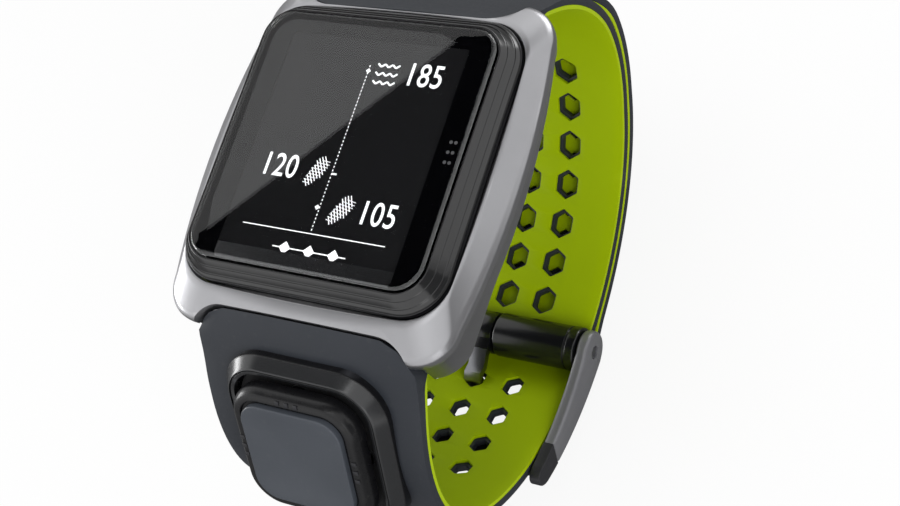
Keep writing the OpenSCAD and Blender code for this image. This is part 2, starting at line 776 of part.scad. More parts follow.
display_glass();
glass_gasket();
display_panel();
backlight_plate();
display_carrier();
bezel();
module_case();
rear_cover();
case_seal();
case_screws();
charging_contacts();
main_board();
shield_can();
gps_antenna();
battery();
vibration_motor();
metal_frame();
cradle_ring();
strap_lugs();
spring_bars();
strap_upper_outer();
strap_upper_lining();
strap_lower_outer();
strap_lower_lining();
hinge_barrel();
hinge_pin();
buckle_frame();
tang();
pod_housing();
pod_collar();
button_board();
dome_switches();
button_flex();
gimbal_ring();
button_cap();
button_pad();
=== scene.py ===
# %% [markdown]
# # A golf GPS watch
# This lesson dresses the bare frame of a golf watch: a glass-covered display in a satin metal
# frame, a two-layer rubber strap, a rocking button and a hinged buckle. The frame gives every
# place and size, so the first step loads it and measures it.

# %% Load the frame
import bpy
import bmesh
import json
import math
from mathutils import Matrix, Vector


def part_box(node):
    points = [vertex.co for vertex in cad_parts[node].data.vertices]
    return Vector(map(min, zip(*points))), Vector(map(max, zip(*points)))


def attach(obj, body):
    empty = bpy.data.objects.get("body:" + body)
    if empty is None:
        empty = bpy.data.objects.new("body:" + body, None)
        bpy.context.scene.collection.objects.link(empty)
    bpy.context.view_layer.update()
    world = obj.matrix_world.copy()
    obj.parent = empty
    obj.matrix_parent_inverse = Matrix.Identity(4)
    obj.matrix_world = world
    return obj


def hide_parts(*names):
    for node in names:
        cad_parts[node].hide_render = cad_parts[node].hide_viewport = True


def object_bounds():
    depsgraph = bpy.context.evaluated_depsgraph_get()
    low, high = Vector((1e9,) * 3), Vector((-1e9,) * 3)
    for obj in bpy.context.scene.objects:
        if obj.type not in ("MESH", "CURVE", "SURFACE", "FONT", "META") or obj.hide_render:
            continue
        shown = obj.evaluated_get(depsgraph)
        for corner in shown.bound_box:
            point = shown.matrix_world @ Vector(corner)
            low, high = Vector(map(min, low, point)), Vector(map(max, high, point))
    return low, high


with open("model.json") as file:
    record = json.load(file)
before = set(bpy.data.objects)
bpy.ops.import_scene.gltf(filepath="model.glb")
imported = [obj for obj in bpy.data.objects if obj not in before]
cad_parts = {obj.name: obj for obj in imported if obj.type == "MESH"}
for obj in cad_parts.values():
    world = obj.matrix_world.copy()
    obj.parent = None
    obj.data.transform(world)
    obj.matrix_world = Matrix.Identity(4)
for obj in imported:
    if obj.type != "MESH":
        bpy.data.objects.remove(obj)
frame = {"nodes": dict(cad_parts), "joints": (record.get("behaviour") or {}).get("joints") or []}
cad_low, cad_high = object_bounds()
scene = bpy.context.scene
MM = 0.001  # sizes below are in millimetres; each finished mesh is scaled to metres once


def box(node):
    """Lowest and highest corner of a frame node, in millimetres."""
    low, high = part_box(node)
    return Vector(low) / MM, Vector(high) / MM


def size(node):
    low, high = box(node)
    return high - low


joints = {joint["name"]: joint for joint in frame["joints"]}
print("frame nodes", len(frame["nodes"]), "size in mm", [round(v, 1) for v in (cad_high - cad_low) / MM])

# %% [markdown]
# ## Finishing a mesh
# Every piece is shaped in a bmesh, in millimetres and in its real place. One helper closes the
# work: it merges doubles, points the faces outwards, shades the mesh smooth with sharp edges
# where faces meet steeply, and lets the piece ride on a body of the frame.

# %% One way to finish a piece


def placed(name, data):
    """New object with this data, in the scene."""
    made = bpy.data.objects.new(name, data)
    scene.collection.objects.link(made)
    return made


def mesh_of(name, bm):
    """New mesh from a bmesh, which is freed."""
    mesh = bpy.data.meshes.new(name)
    bm.to_mesh(mesh)
    bm.free()
    return mesh


def evaluated_mesh(holder):
    """Copy of an object's mesh as its modifiers or its curve settings make it."""
    return bpy.data.meshes.new_from_object(holder.evaluated_get(bpy.context.evaluated_depsgraph_get()))


def finished(name, bm, material, body, slot, *stands_for, sharp=32):
    bmesh.ops.remove_doubles(bm, verts=bm.verts, dist=0.0008)
    bmesh.ops.recalc_face_normals(bm, faces=bm.faces)
    bmesh.ops.scale(bm, vec=(MM, MM, MM), verts=bm.verts)
    mesh = mesh_of(name, bm)
    mesh.shade_smooth()
    mesh.set_sharp_from_angle(angle=math.radians(sharp))
    mesh.materials.append(material)
    piece = placed(name, mesh)
    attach(piece, body)
    if stands_for:
        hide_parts(*stands_for)
    print(name, "faces", len(mesh.polygons))


# %% [markdown]
# ## Rounded oblongs and lofts
# The head, the button and the display are all square plates with round corners, some with sides
# that bow outwards. A circle of vertices is laid onto such an outline and is then extruded from
# ring to ring. All rings have the same number of vertices, so one ring can also be a mix of two
# outlines. That is how the metal frame flows from its bowed ridge to its square lip.

# %% Outlines and lofts
ARC_STEPS = 12
SIDE_STEPS = 14


def outline(width, length, radius, bow=0.0, shift=0.0):
    """Points of a rounded oblong, corner by corner, from 3 o'clock round to 3 o'clock."""
    radius = max(radius, 0.05)
    points = []
    corners = ((1, 1), (-1, 1), (-1, -1), (1, -1))
    centres = [Vector((sx * (width / 2 - radius), sy * (length / 2 - radius))) for sx, sy in corners]
    for k in range(4):
        for n in range(ARC_STEPS + 1):
            angle = math.radians(90 * (k + n / ARC_STEPS))
            points.append(centres[k] + radius * Vector((math.cos(angle), math.sin(angle))))
        outward = Vector((math.cos(math.radians(90 * (k + 1))), math.sin(math.radians(90 * (k + 1)))))
        first, last = points[-1], centres[(k + 1) % 4] + radius * outward
        for n in range(1, SIDE_STEPS):
            u = 2 * n / SIDE_STEPS - 1
            points.append(first.lerp(last, n / SIDE_STEPS) + outward * bow * (1 - u * u))
    return [Vector((p.x, p.y + shift)) for p in points]


def mixed(one, two, share):
    return [a.lerp(b, share) for a, b in zip(one, two)]


def loft(levels, closed=False):
    """Skin through [(points, height), ...]: capped at both ends, or closed round like a tyre.

    Each level is extruded from the one before. A number on every vertex says which point it is,
    and heights may be numbers or functions of the point.
    """
    bm = bmesh.new()
    place = bm.verts.layers.int.new("place")
    verts = bmesh.ops.create_circle(bm, segments=len(levels[0][0]), radius=1)["verts"]
    for n, vert in enumerate(verts):
        vert[place] = n
    first = edges = bm.edges[:]
    for n, (points, height) in enumerate(levels + levels[:1] if closed else levels):
        if n:
            made = bmesh.ops.extrude_edge_only(bm, edges=edges)["geom"]
            verts = [g for g in made if isinstance(g, bmesh.types.BMVert)]
            fresh = set(verts)
            edges = [g for g in made if isinstance(g, bmesh.types.BMEdge) and fresh.issuperset(g.verts)]
        for vert in verts:
            p = points[vert[place]]
            vert.co = (p.x, p.y, height(p) if callable(height) else height)
    if closed:
        bmesh.ops.remove_doubles(bm, verts=bm.verts, dist=0.0001)
    else:
        for end in (first, edges):
            bmesh.ops.edgeloop_fill(bm, edges=end)
    bm.verts.layers.int.remove(bm.verts.layers.int["place"])
    return bm


def softened(corners, steps=4):
    """Rounds an open profile of (inset, height, radius) corners into (inset, height) points."""
    points = []
    last = len(corners) - 1
    for n, (x, z, radius) in enumerate(corners):
        here = Vector((x, z))
        if n in (0, last) or radius == 0:
            points.append(here)
            continue
        back = Vector(corners[n - 1][:2]) - here
        ahead = Vector(corners[n + 1][:2]) - here
        reach = min(radius, 0.45 * back.length, 0.45 * ahead.length)
        start, end = here + back.normalized() * reach, here + ahead.normalized() * reach
        for k in range(steps + 1):
            f = k / steps
            points.append(start.lerp(here, f).lerp(here.lerp(end, f), f))
    return points


def rings(width, length, radius, corners, steps=4, tighten=1.0):
    """Levels for a loft: an outline for each point of a profile of (inset, height, radius) corners."""
    return [(outline(width - 2 * x, length - 2 * x, radius - tighten * x), z)
            for x, z in softened(corners, steps)]


def cuboid(bm, size, place):
    bmesh.ops.create_cube(bm, size=1, matrix=place @ Matrix.Diagonal((*size, 1)))


def cylinder(bm, radius, depth, place, segments):
    bmesh.ops.create_cone(bm, segments=segments, radius1=radius, radius2=radius, depth=depth, cap_ends=True,
                          matrix=place)


print("one outline has", 4 * (ARC_STEPS + SIDE_STEPS), "points")

# %% [markdown]
# ## Shared effects for the materials
# Three effects turn up in most finishes, so each is a node group with its own inputs: a fine
# grain with slow mottling, a mask along convex edges, and a little dust. The edge mask stands for
# places where handling polishes a surface, and it is also a painted highlight along the edges. The
# groups only put out values that change over the surface. Every material then mixes its own
# colours and roughness from them.

# %% Node groups


def node(tree, kind, inputs=(), **settings):
    """New node with its settings and with values on its inputs."""
    made = tree.nodes.new("ShaderNode" + kind)
    for key, value in settings.items():
        setattr(made, key, value)
    for label, value in dict(inputs).items():
        made.inputs[label].default_value = value
    return made


def wire(tree, *links):
    """Links, each given as (node, output, node, input)."""
    for source, output, target, socket in links:
        tree.links.new(source.outputs[output], target.inputs[socket])


def new_group(name, inputs, *outputs):
    group = bpy.data.node_groups.new(name, "ShaderNodeTree")
    for label, value in inputs.items():
        group.interface.new_socket(label, in_out="INPUT", socket_type="NodeSocketFloat").default_value = value
    for label in outputs:
        group.interface.new_socket(label, in_out="OUTPUT", socket_type="NodeSocketFloat")
    given, out = group.nodes.new("NodeGroupInput"), group.nodes.new("NodeGroupOutput")
    return group, given, out, node(group, "TexCoord")


def grain_group():
    """Fine grain and slow mottling, both from 0 to 1, on Object coordinates."""
    group, given, out, where = new_group("grain", {"Scale": 4000.0, "Mottle Scale": 120.0}, "Grain", "Mottle")
    for scale, detail, result in (("Scale", 3, "Grain"), ("Mottle Scale", 4, "Mottle")):
        noise = node(group, "TexNoise", {"Detail": detail})
        wire(group, (where, "Object", noise, "Vector"), (given, scale, noise, "Scale"),
             (noise, "Fac", out, result))
    return group


def edge_wear_and_highlight_group():
    """Mask along convex edges, broken up by noise: partly wear, partly a painted highlight."""
    group, given, out, where = new_group("edge_wear_and_highlight", {"Width": 0.54, "Breakup": 600.0}, "Mask")
    shape, noise = node(group, "NewGeometry"), node(group, "TexNoise")
    step = node(group, "MapRange", {"From Max": 0.75}, interpolation_type="SMOOTHSTEP")
    times = node(group, "Math", operation="MULTIPLY")
    wire(group, (shape, "Pointiness", step, "Value"), (given, "Width", step, "From Min"),
         (where, "Object", noise, "Vector"), (given, "Breakup", noise, "Scale"),
         (step, "Result", times, 0), (noise, "Fac", times, 1), (times, 0, out, "Mask"))
    return group


def dust_group():
    """Sparse small specks."""
    group, given, out, where = new_group("dust", {"Scale": 1500.0, "Amount": 0.3}, "Mask")
    noise = node(group, "TexNoise", {"Detail": 2})
    step = node(group, "MapRange", {"From Min": 0.62, "From Max": 0.72})
    wire(group, (where, "Object", noise, "Vector"), (given, "Scale", noise, "Scale"),
         (noise, "Fac", step, "Value"), (given, "Amount", step, "To Max"), (step, "Result", out, "Mask"))
    return group


GRAIN, EDGE_WEAR_AND_HIGHLIGHT, DUST = grain_group(), edge_wear_and_highlight_group(), dust_group()
print("groups", [g.name for g in (GRAIN, EDGE_WEAR_AND_HIGHLIGHT, DUST)])

# %% [markdown]
# ## One recipe for most finishes
# A finish is two close colours mixed by the slow mottling, a third colour on convex edges, a
# roughness that follows the grain, and a small bump. The edge colour is partly wear and partly a
# painted highlight. Metals, rubber and plastic differ only in these values and in the constants on
# the shader itself, such as metallic and coat.

# %% The recipe


def srgb(red, green, blue):
    """Colour as seen on a screen, 0 to 255, to the linear values that the shader wants."""
    def linear(v):
        v = v / 255
        return v / 12.92 if v <= 0.04045 else ((v + 0.055) / 1.055) ** 2.4
    return (linear(red), linear(green), linear(blue), 1.0)


def new_material(name, **constants):
    """Material, its tree and its shader, with constants on the shader's sockets."""
    material = bpy.data.materials.new(name)
    material.use_nodes = True
    shader = material.node_tree.nodes["Principled BSDF"]
    for label, value in constants.items():
        shader.inputs[label.replace("_", " ").title().replace("Ior", "IOR")].default_value = value
    return material, material.node_tree, shader


DUST_TONE = (150, 148, 142)


def finish(name, dark, light, edge, rough=(0.4, 0.5), grain=4000.0, mottle=120.0, bump=0.1,
           depth=0.02, wear_and_highlight=0.6, dust=0.05, wear_and_highlight_from=0.54, **constants):
    material, tree, shader = new_material(name, **constants)
    fine = node(tree, "Group", {"Scale": grain, "Mottle Scale": mottle}, node_tree=GRAIN)
    edges = node(tree, "Group", {"Width": wear_and_highlight_from}, node_tree=EDGE_WEAR_AND_HIGHLIGHT)
    specks = node(tree, "Group", {"Amount": dust}, node_tree=DUST)
    base = node(tree, "Mix", {"A": srgb(*dark), "B": srgb(*light)}, data_type="RGBA")
    # The third colour goes onto convex edges: partly wear, partly a painted highlight.
    worn_and_highlit = node(tree, "Mix", {"B": srgb(*edge)}, data_type="RGBA")
    dusty = node(tree, "Mix", {"B": srgb(*DUST_TONE)}, data_type="RGBA")
    wear_and_highlight_size = node(tree, "Math", {1: wear_and_highlight}, operation="MULTIPLY")
    roughness = node(tree, "MapRange", {"To Min": rough[0], "To Max": rough[1]})
    relief = node(tree, "Bump", {"Strength": bump, "Distance": depth * MM})
    wire(tree, (fine, "Mottle", base, "Factor"), (base, "Result", worn_and_highlit, "A"),
         (edges, "Mask", wear_and_highlight_size, 0), (wear_and_highlight_size, 0, worn_and_highlit, "Factor"),
         (worn_and_highlit, "Result", dusty, "A"), (specks, "Mask", dusty, "Factor"),
         (dusty, "Result", shader, "Base Color"), (fine, "Grain", roughness, "Value"),
         (roughness, "Result", shader, "Roughness"), (fine, "Grain", relief, "Height"),
         (relief, "Normal", shader, "Normal"))
    return material


# %% [markdown]
# ## The finishes of this watch
# The strap's inner layer is a saturated lime rubber and its outer layer a dark slate one, both
# moulded with a faint texture. The frame is bead-blasted aluminium: bright, but with broad soft
# reflections. The bezel and the hinge barrel are gloss black, the button is satin.

# %% Named finishes
LIME = finish("lime_rubber", (146, 168, 0), (158, 182, 2), (190, 210, 40), rough=(0.5, 0.62),
              grain=2600, mottle=90, bump=0.12, wear_and_highlight=0.7, dust=0.0, wear_and_highlight_from=0.52, specular_ior_level=0.12)
SLATE = finish("slate_rubber", (38, 41, 46), (45, 48, 54), (80, 84, 92), rough=(0.42, 0.56),
               grain=2600, mottle=110, bump=0.12, wear_and_highlight=0.6, dust=0.02, wear_and_highlight_from=0.52, specular_ior_level=0.3)
BLASTED = finish("blasted_metal", (166, 166, 169), (180, 180, 183), (222, 222, 224),
                 rough=(0.28, 0.4), grain=9000, mottle=160, bump=0.2, depth=0.01, wear_and_highlight=0.9, dust=0.0,
                 metallic=1.0)
GLOSS = finish("gloss_black", (8, 8, 10), (13, 13, 15), (50, 50, 54), rough=(0.14, 0.22),
               grain=3000, mottle=140, bump=0.02, wear_and_highlight=0.3, dust=0.0, specular_ior_level=0.9)
SATIN = finish("satin_black", (13, 13, 15), (18, 18, 20), (80, 81, 86), rough=(0.24, 0.34),
               grain=5000, mottle=130, bump=0.1, wear_and_highlight=0.7, dust=0.02, specular_ior_level=0.4)
COLLAR = finish("collar_satin", (22, 23, 25), (28, 29, 31), (110, 112, 118), rough=(0.2, 0.28),
                grain=6000, mottle=130, bump=0.05, wear_and_highlight=0.8, dust=0.0, specular_ior_level=0.8)
PAD = finish("pad_slate", (56, 60, 66), (68, 72, 79), (110, 114, 122), rough=(0.3, 0.42),
             grain=6000, mottle=100, bump=0.08, wear_and_highlight=0.6, dust=0.02, specular_ior_level=0.4)
BARREL = finish("barrel_black", (10, 10, 13), (14, 15, 18), (60, 62, 68), rough=(0.2, 0.26),
                grain=3000, mottle=90, bump=0.01, wear_and_highlight=0.3, dust=0.0, wear_and_highlight_from=0.6, specular_ior_level=0.6)
BUCKLE = finish("buckle_grey", (118, 118, 122), (132, 132, 136), (160, 160, 164),
                rough=(0.36, 0.48), grain=7000, mottle=140, bump=0.14, wear_and_highlight=0.8, dust=0.02, metallic=0.5)
# Near-black finish. On the buckle bar it is painted shade, because the bar belongs to the same grey frame as
# the arms. On the button's rim marks it is their own dark colour.
BAR_SHADE_AND_MARK_BLACK = finish("bar_shade_and_mark_black", (34, 34, 37), (44, 44, 47), (90, 90, 94), rough=(0.4, 0.5),
             grain=5000, mottle=130, bump=0.1, wear_and_highlight=0.6, dust=0.02, specular_ior_level=0.3)
STEEL = finish("bright_steel", (128, 129, 133), (146, 147, 151), (205, 205, 208),
               rough=(0.24, 0.36), grain=5000, mottle=200, bump=0.05, wear_and_highlight=0.8, dust=0.0, metallic=1.0)
GOLD = finish("gold_plate", (200, 160, 80), (222, 184, 102), (240, 214, 150), rough=(0.2, 0.3),
              mottle=300, bump=0.05, dust=0.02, metallic=1.0)
CASE = finish("case_plastic", (26, 27, 29), (34, 35, 37), (84, 85, 88), rough=(0.4, 0.55),
              grain=5200, mottle=150, bump=0.2, wear_and_highlight=0.6, dust=0.04, specular_ior_level=0.4)
SEAL = finish("seal_rubber", (20, 20, 21), (28, 28, 29), (50, 50, 52), rough=(0.55, 0.7),
              specular_ior_level=0.3)
BOARD = finish("board_green", (12, 70, 38), (20, 92, 52), (60, 140, 90), rough=(0.3, 0.45))
CERAMIC = finish("ceramic", (176, 156, 122), (196, 178, 146), (220, 206, 180), rough=(0.5, 0.65))
FOIL = finish("cell_foil", (150, 154, 160), (172, 176, 182), (220, 222, 226), rough=(0.3, 0.45),
              metallic=0.8)
AMBER = finish("flex_amber", (170, 104, 30), (196, 128, 44), (220, 160, 80), rough=(0.3, 0.4))
WHITE = finish("light_plate", (214, 214, 214), (232, 232, 232), (240, 240, 240), rough=(0.4, 0.5))
INNER = finish("inner_plastic", (110, 111, 114), (130, 131, 134), (160, 160, 163), rough=(0.5, 0.6))
print("finishes", len(bpy.data.materials))

# %% [markdown]
# ## The frame's own pieces
# Pieces inside the head and small plain parts keep the frame's meshes, whose shape is right.
# They only need a finish in their material slot.

# %% Finishes on the frame's meshes
PLAIN = {
    "backlight_plate": WHITE, "display_carrier": INNER, "module_case": CASE, "rear_cover": CASE,
    "case_seal": SEAL, "case_screws": STEEL, "charging_contacts": GOLD, "main_board": BOARD,
    "shield_can": STEEL, "gps_antenna": CERAMIC, "battery": FOIL, "vibration_motor": STEEL,
    "cradle_ring": SEAL, "strap_lugs": STEEL, "spring_bars": STEEL, "hinge_pin": STEEL,
    # The button board takes the black seal rubber, so the groove round the button shows dark: painted shade.
    "button_board": SEAL, "dome_switches": STEEL, "button_flex": AMBER, "gimbal_ring": STEEL,
}
for name, material in PLAIN.items():
    mesh = frame["nodes"][name].data
    mesh.materials.clear()
    mesh.materials.append(material)
print("finished frame nodes", len(PLAIN))

# %% [markdown]
# ## Bezel
# The black bezel climbs from the metal frame to the glass in rounded steps. Its profile is one
# list of corners, each with a radius, and the loft carries it round the square.

# %% Bezel
glass_low, glass_high = box("display_glass")
bezel_low = box("bezel")[0]
bezel_w, bezel_l = size("bezel").xy
glass_w, glass_l = size("display_glass").xy
top = glass_high.z
BEZEL_R, GLASS_R = 5.0, 3.0
LIP_DROP = 2.84  # from the top of the glass down to the inner edge of the metal frame
GROOVE = 0.05  # breadth of the fine grooves between the steps
SHELF_IN = 4.0  # how far the bezel reaches in under the glass


def bezel():
    lip, shelf = top - LIP_DROP, glass_low.z - 0.15
    rim = (bezel_w - glass_w) / 2 - 0.12
    return loft(rings(bezel_w, bezel_l, BEZEL_R, [
        (0, bezel_low.z, 0), (0, lip + 0.5, 0.3), (0.42, lip + 1.0, 0.06), (0.42 + GROOVE, lip + 0.94, 0.02),
        (0.5 + GROOVE, lip + 1.02, 0.04), (1.0, lip + 1.72, 0.06), (1.0 + GROOVE, lip + 1.66, 0.02),
        (1.08 + GROOVE, lip + 1.74, 0.04), (rim - 0.2, top - 0.42, 0.25), (rim, top - 0.5, 0.08),
        (rim, shelf, 0), (SHELF_IN, shelf, 0), (SHELF_IN, bezel_low.z, 0)]), closed=True)


finished("bezel_shell", bezel(), GLOSS, "root", "gloss_black", "bezel")

# %% [markdown]
# ## Cover glass
# The glass is a clear slab with a polished bevel. It has real thickness, so the black border and
# the display under it shift a little as the view turns. Light reaches the display through it:
# for shadow rays the glass is simply see-through.

# %% Cover glass


def clear_glass():
    material, tree, shader = new_material("clear_glass", base_color=(0.93, 0.94, 0.95, 1),
                                          transmission_weight=1.0, ior=1.44)
    grain = node(tree, "Group", {"Mottle Scale": 60}, node_tree=GRAIN)
    smear = node(tree, "MapRange", {"To Min": 0.0, "To Max": 0.012})
    shade, path, mix = [node(tree, kind) for kind in ("BsdfTransparent", "LightPath", "MixShader")]
    wire(tree, (grain, "Mottle", smear, "Value"), (smear, "Result", shader, "Roughness"),
         (path, "Is Shadow Ray", mix, "Fac"), (shader, "BSDF", mix, 1), (shade, "BSDF", mix, 2),
         (mix, "Shader", tree.nodes["Material Output"], "Surface"))
    return material


glass_edge = [(0.06, glass_low.z, 0), (0, glass_low.z + 0.06, 0.03), (0, top - 0.26, 0.1),
              (0.3, top, 0.15), (1.2, top, 0)]
finished("cover_glass", loft(rings(glass_w, glass_l, GLASS_R, glass_edge, 5)), clear_glass(),
         "root", "cover_glass", "display_glass")

# %% [markdown]
# ## Display
# Below the glass lie a black printed border, with the window cut out of it, and the display
# panel. The panel is a dark grey reflective display: its marks are thin pale shapes on its face,
# and their faint glow is painted light.

# %% Border and panel
WINDOW_W, WINDOW_L, WINDOW_Y = 22.0, 26.3, -0.75
panel_low, panel_high = box("display_panel")
panel_w, panel_l = size("display_panel").xy


def border():
    low, high = panel_high.z - 0.03, glass_low.z - 0.02
    outer = outline(glass_w - 0.1, glass_l - 0.1, GLASS_R - 0.05)
    inner = outline(WINDOW_W, WINDOW_L, 0.4, shift=WINDOW_Y)
    return loft([(outer, low), (outer, high), (inner, high), (inner, low)], closed=True)


PRINT = finish("border_print", (2, 2, 3), (4, 4, 5), (5, 5, 6), rough=(0.5, 0.6), bump=0.0, dust=0.0,
               specular_ior_level=0.0)
SCREEN = finish("screen_grey", (17, 17, 18), (22, 22, 23), (22, 22, 23), rough=(0.5, 0.6),
                grain=6000, mottle=60, bump=0.0, dust=0.0, specular_ior_level=0.02)
finished("border_print", border(), PRINT, "root", "seal_rubber", "glass_gasket")
panel_edge = [(0, panel_low.z, 0), (0, panel_high.z - 0.05, 0.02), (0.05, panel_high.z, 0.02),
              (0.4, panel_high.z, 0)]
finished("screen_panel", loft(rings(panel_w, panel_l, 0.8, panel_edge)), SCREEN, "root", "display",
         "display_panel")

# %% [markdown]
# The marks on the screen are flat shapes a few hundredths of a millimetre thick: distances in
# figures, a dotted guide line, two hatched bunkers, a patch of water, a base line and a row of
# three points. Text is a curve in Blender, so it is turned into a mesh before it is put in place.

# %% Marks on the screen
# The marks carry a faint emission, so they glow though they are no lamp: painted light.
MARK_GLOW = finish("screen_marks", (225, 226, 226), (240, 240, 240), (240, 240, 240), rough=(0.6, 0.7),
              dust=0.0, emission_strength=0.55, emission_color=(1, 1, 1, 1))
MARK_Z, MARK_T = panel_high.z + 0.01, 0.03
FIGURE_H, FIGURE_SQUEEZE = 2.6, 0.8


def bar(bm, x, y, width, height, turn=0.0):
    """Thin flat bar, centred at x, y."""
    place = Matrix.Translation((x, y, MARK_Z + MARK_T / 2)) @ Matrix.Rotation(math.radians(turn), 4, "Z")
    cuboid(bm, (width, height, MARK_T), place)


def figures(bm, text, x, y):
    """Adds plain figures, centred at x, y."""
    curve = bpy.data.curves.new("figures", "FONT")
    curve.body, curve.size, curve.extrude = text, FIGURE_H / 0.7, MARK_T / 2
    curve.align_x, curve.align_y = "CENTER", "CENTER"
    curve.offset = 0.006 * FIGURE_H
    curve.space_character = 1.06
    holder = placed("figures", curve)
    mesh = evaluated_mesh(holder)
    place = Matrix.Translation((x, y, MARK_Z + MARK_T / 2))
    mesh.transform(place @ Matrix.Diagonal((FIGURE_SQUEEZE, 1, 1, 1)))
    bm.from_mesh(mesh)
    bpy.data.objects.remove(holder)
    bpy.data.curves.remove(curve)
    bpy.data.meshes.remove(mesh)


def bunker(bm, x, y, length, width, turn):
    """Oval made of slanting hatch lines that cross."""
    slant = math.radians(turn)
    for k in range(-4, 5):
        along = k * length / 9.6
        half = width / 2 * math.sqrt(max(0.0, 1 - (2 * along / length) ** 2)) * (0.85 + 0.3 * (k > 0))
        for reach, line, lean in ((2 * half, 0.1, 62), (1.7 * half, 0.06, 118)):
            bar(bm, x + along * math.cos(slant), y + along * math.sin(slant), reach, line, turn + lean)


def marks():
    bm = bmesh.new()
    for text, x, y in (("185", 6.7, 8.75), ("120", -6.75, -3.25), ("105", 6.85, -7.0)):
        figures(bm, text, x, y)
    for k in range(46):
        bar(bm, -0.15, -9.6 + 0.42 * k, 0.1, 0.2)
    bar(bm, 0.1, -10.05, 17.6, 0.1)
    bar(bm, -0.15, 8.75, 0.42, 0.42, 45)
    bar(bm, 0.15, -3.25, 0.6, 0.2)
    bar(bm, -0.45, -7.1, 0.42, 0.42, 45)
    bunker(bm, -2.1, -3.3, 3.7, 1.9, 58)
    bunker(bm, 2.4, -7.1, 3.7, 2.0, 52)
    for row in range(3):
        for k in range(6):
            bar(bm, 1.0 + 0.45 * k, 9.55 - 1.0 * row, 0.56, 0.2, 38 if k % 2 else -38)
    for k in range(-1, 2):
        bar(bm, 0.4 + 3.0 * k, -12.0, 1.0, 1.0, 45)
    bar(bm, 0.4, -12.0, 9.0, 0.12)
    return bm


finished("screen_marks", marks(), MARK_GLOW, "root", "display", sharp=20)
DOT_R, DOT_T = 0.19, 0.19


def light_window():
    """Three pairs of small dots beside the screen, set into the border."""
    bm = bmesh.new()
    for k in range(3):
        for x in (12.4, 12.95):
            place = Matrix.Translation((x, 1.95 - 1.12 * k, glass_low.z - DOT_T / 2))
            cylinder(bm, DOT_R, DOT_T, place, 16)
    return bm


DOTS = finish("sensor_dots", (96, 97, 99), (112, 113, 115), (120, 120, 122), rough=(0.5, 0.6), dust=0.0)
finished("sensor_dots", light_window(), DOTS, "root", "display")

# %% [markdown]
# ## Metal frame
# The frame is one shell: a bowed outer wall, a crisp ridge, a sloping flank up to the bezel, and
# a hollow inside. The loft runs round the section like a tyre. Each ring of the flank is a mix of
# the ridge's outline and the lip's. The two notches for the strap are then cut out of it.

# %% A boolean cut and a soft edge


def cut(bm, tool):
    """Takes the tool's volume out of bm, through two short-lived objects, and returns the rest."""
    holders = [placed("cut", mesh_of("cut", shape)) for shape in (bm, tool)]
    modifier = holders[0].modifiers.new("cut", "BOOLEAN")
    modifier.object, modifier.operation, modifier.solver = holders[1], "DIFFERENCE", "EXACT"
    left = evaluated_mesh(holders[0])
    result = bmesh.new()
    result.from_mesh(left)
    spent = [holder.data for holder in holders] + [left]
    for holder in holders:
        bpy.data.objects.remove(holder)
    for mesh in spent:
        bpy.data.meshes.remove(mesh)
    return result


def steep_edges(bm, degrees=38):
    limit = math.radians(degrees)
    return [e for e in bm.edges if len(e.link_faces) == 2 and e.calc_face_angle() > limit]


def soften(bm, edges, amount, segments=2):
    bmesh.ops.bevel(bm, geom=edges, offset=amount, offset_type="OFFSET", segments=segments, profile=0.5,
                    affect="EDGES", clamp_overlap=True, material=-1)


def block(low, high):
    bm = bmesh.new()
    low, high = Vector(low), Vector(high)
    cuboid(bm, high - low, Matrix.Translation((low + high) / 2))
    return bm


# %% The frame shell
FRAME_W, FRAME_L, FRAME_R, FRAME_BOW, FRAME_Y = 35.6, 40.5, 4.5, 1.4, -0.35
STRAP_W = 27.4
RIDGE_Z, LIP_Z = top - 4.84, top - LIP_DROP
RIDGE_IN, LIP_IN = 0.35, 1.6  # insets at which the flank starts and ends
FRAME_LOW = RIDGE_Z - 3.4
SIDE_SLOPE = 1.4  # rise of the wall's lower edge from 6 to 12 o'clock
EAR_DIP = 1.6
WALL = 1.2
NOTCH_Y = {1: bezel_l / 2 + 0.75, -1: bezel_l / 2 + 2.25}  # 12 and 6 o'clock
NOTCH_R = 4.4
NOTCH_PLAY = 0.35  # from the strap's edge to the notch's side
SLOT_TOP = RIDGE_Z - 1.1  # the strap's slot under the frame reaches up to here
FAR = 40  # beyond both ends of the frame


def ease(f):
    """Smooth step from 0 to 1."""
    f = max(0.0, min(1.0, f))
    return f * f * (3 - 2 * f)


def frame_ring(inset):
    """Outline of the frame's outside: the ridge's at 0, the lip's at LIP_IN."""
    edge = 2 * min(inset, RIDGE_IN)
    ridge = outline(FRAME_W - edge, FRAME_L - edge, FRAME_R, FRAME_BOW, FRAME_Y)
    lip = outline(bezel_w + 0.3, bezel_l + 0.3, BEZEL_R, 0.25)
    return mixed(ridge, lip, max(0.0, (inset - RIDGE_IN) / (LIP_IN - RIDGE_IN)))


def foot(p):
    """The wall's lower edge rises towards 12 o'clock and dips at the two ears by 6 o'clock."""
    return FRAME_LOW + SIDE_SLOPE * ((p.y - FRAME_Y) / FRAME_L + 0.5) - EAR_DIP * ease((-p.y - 9) / 9)


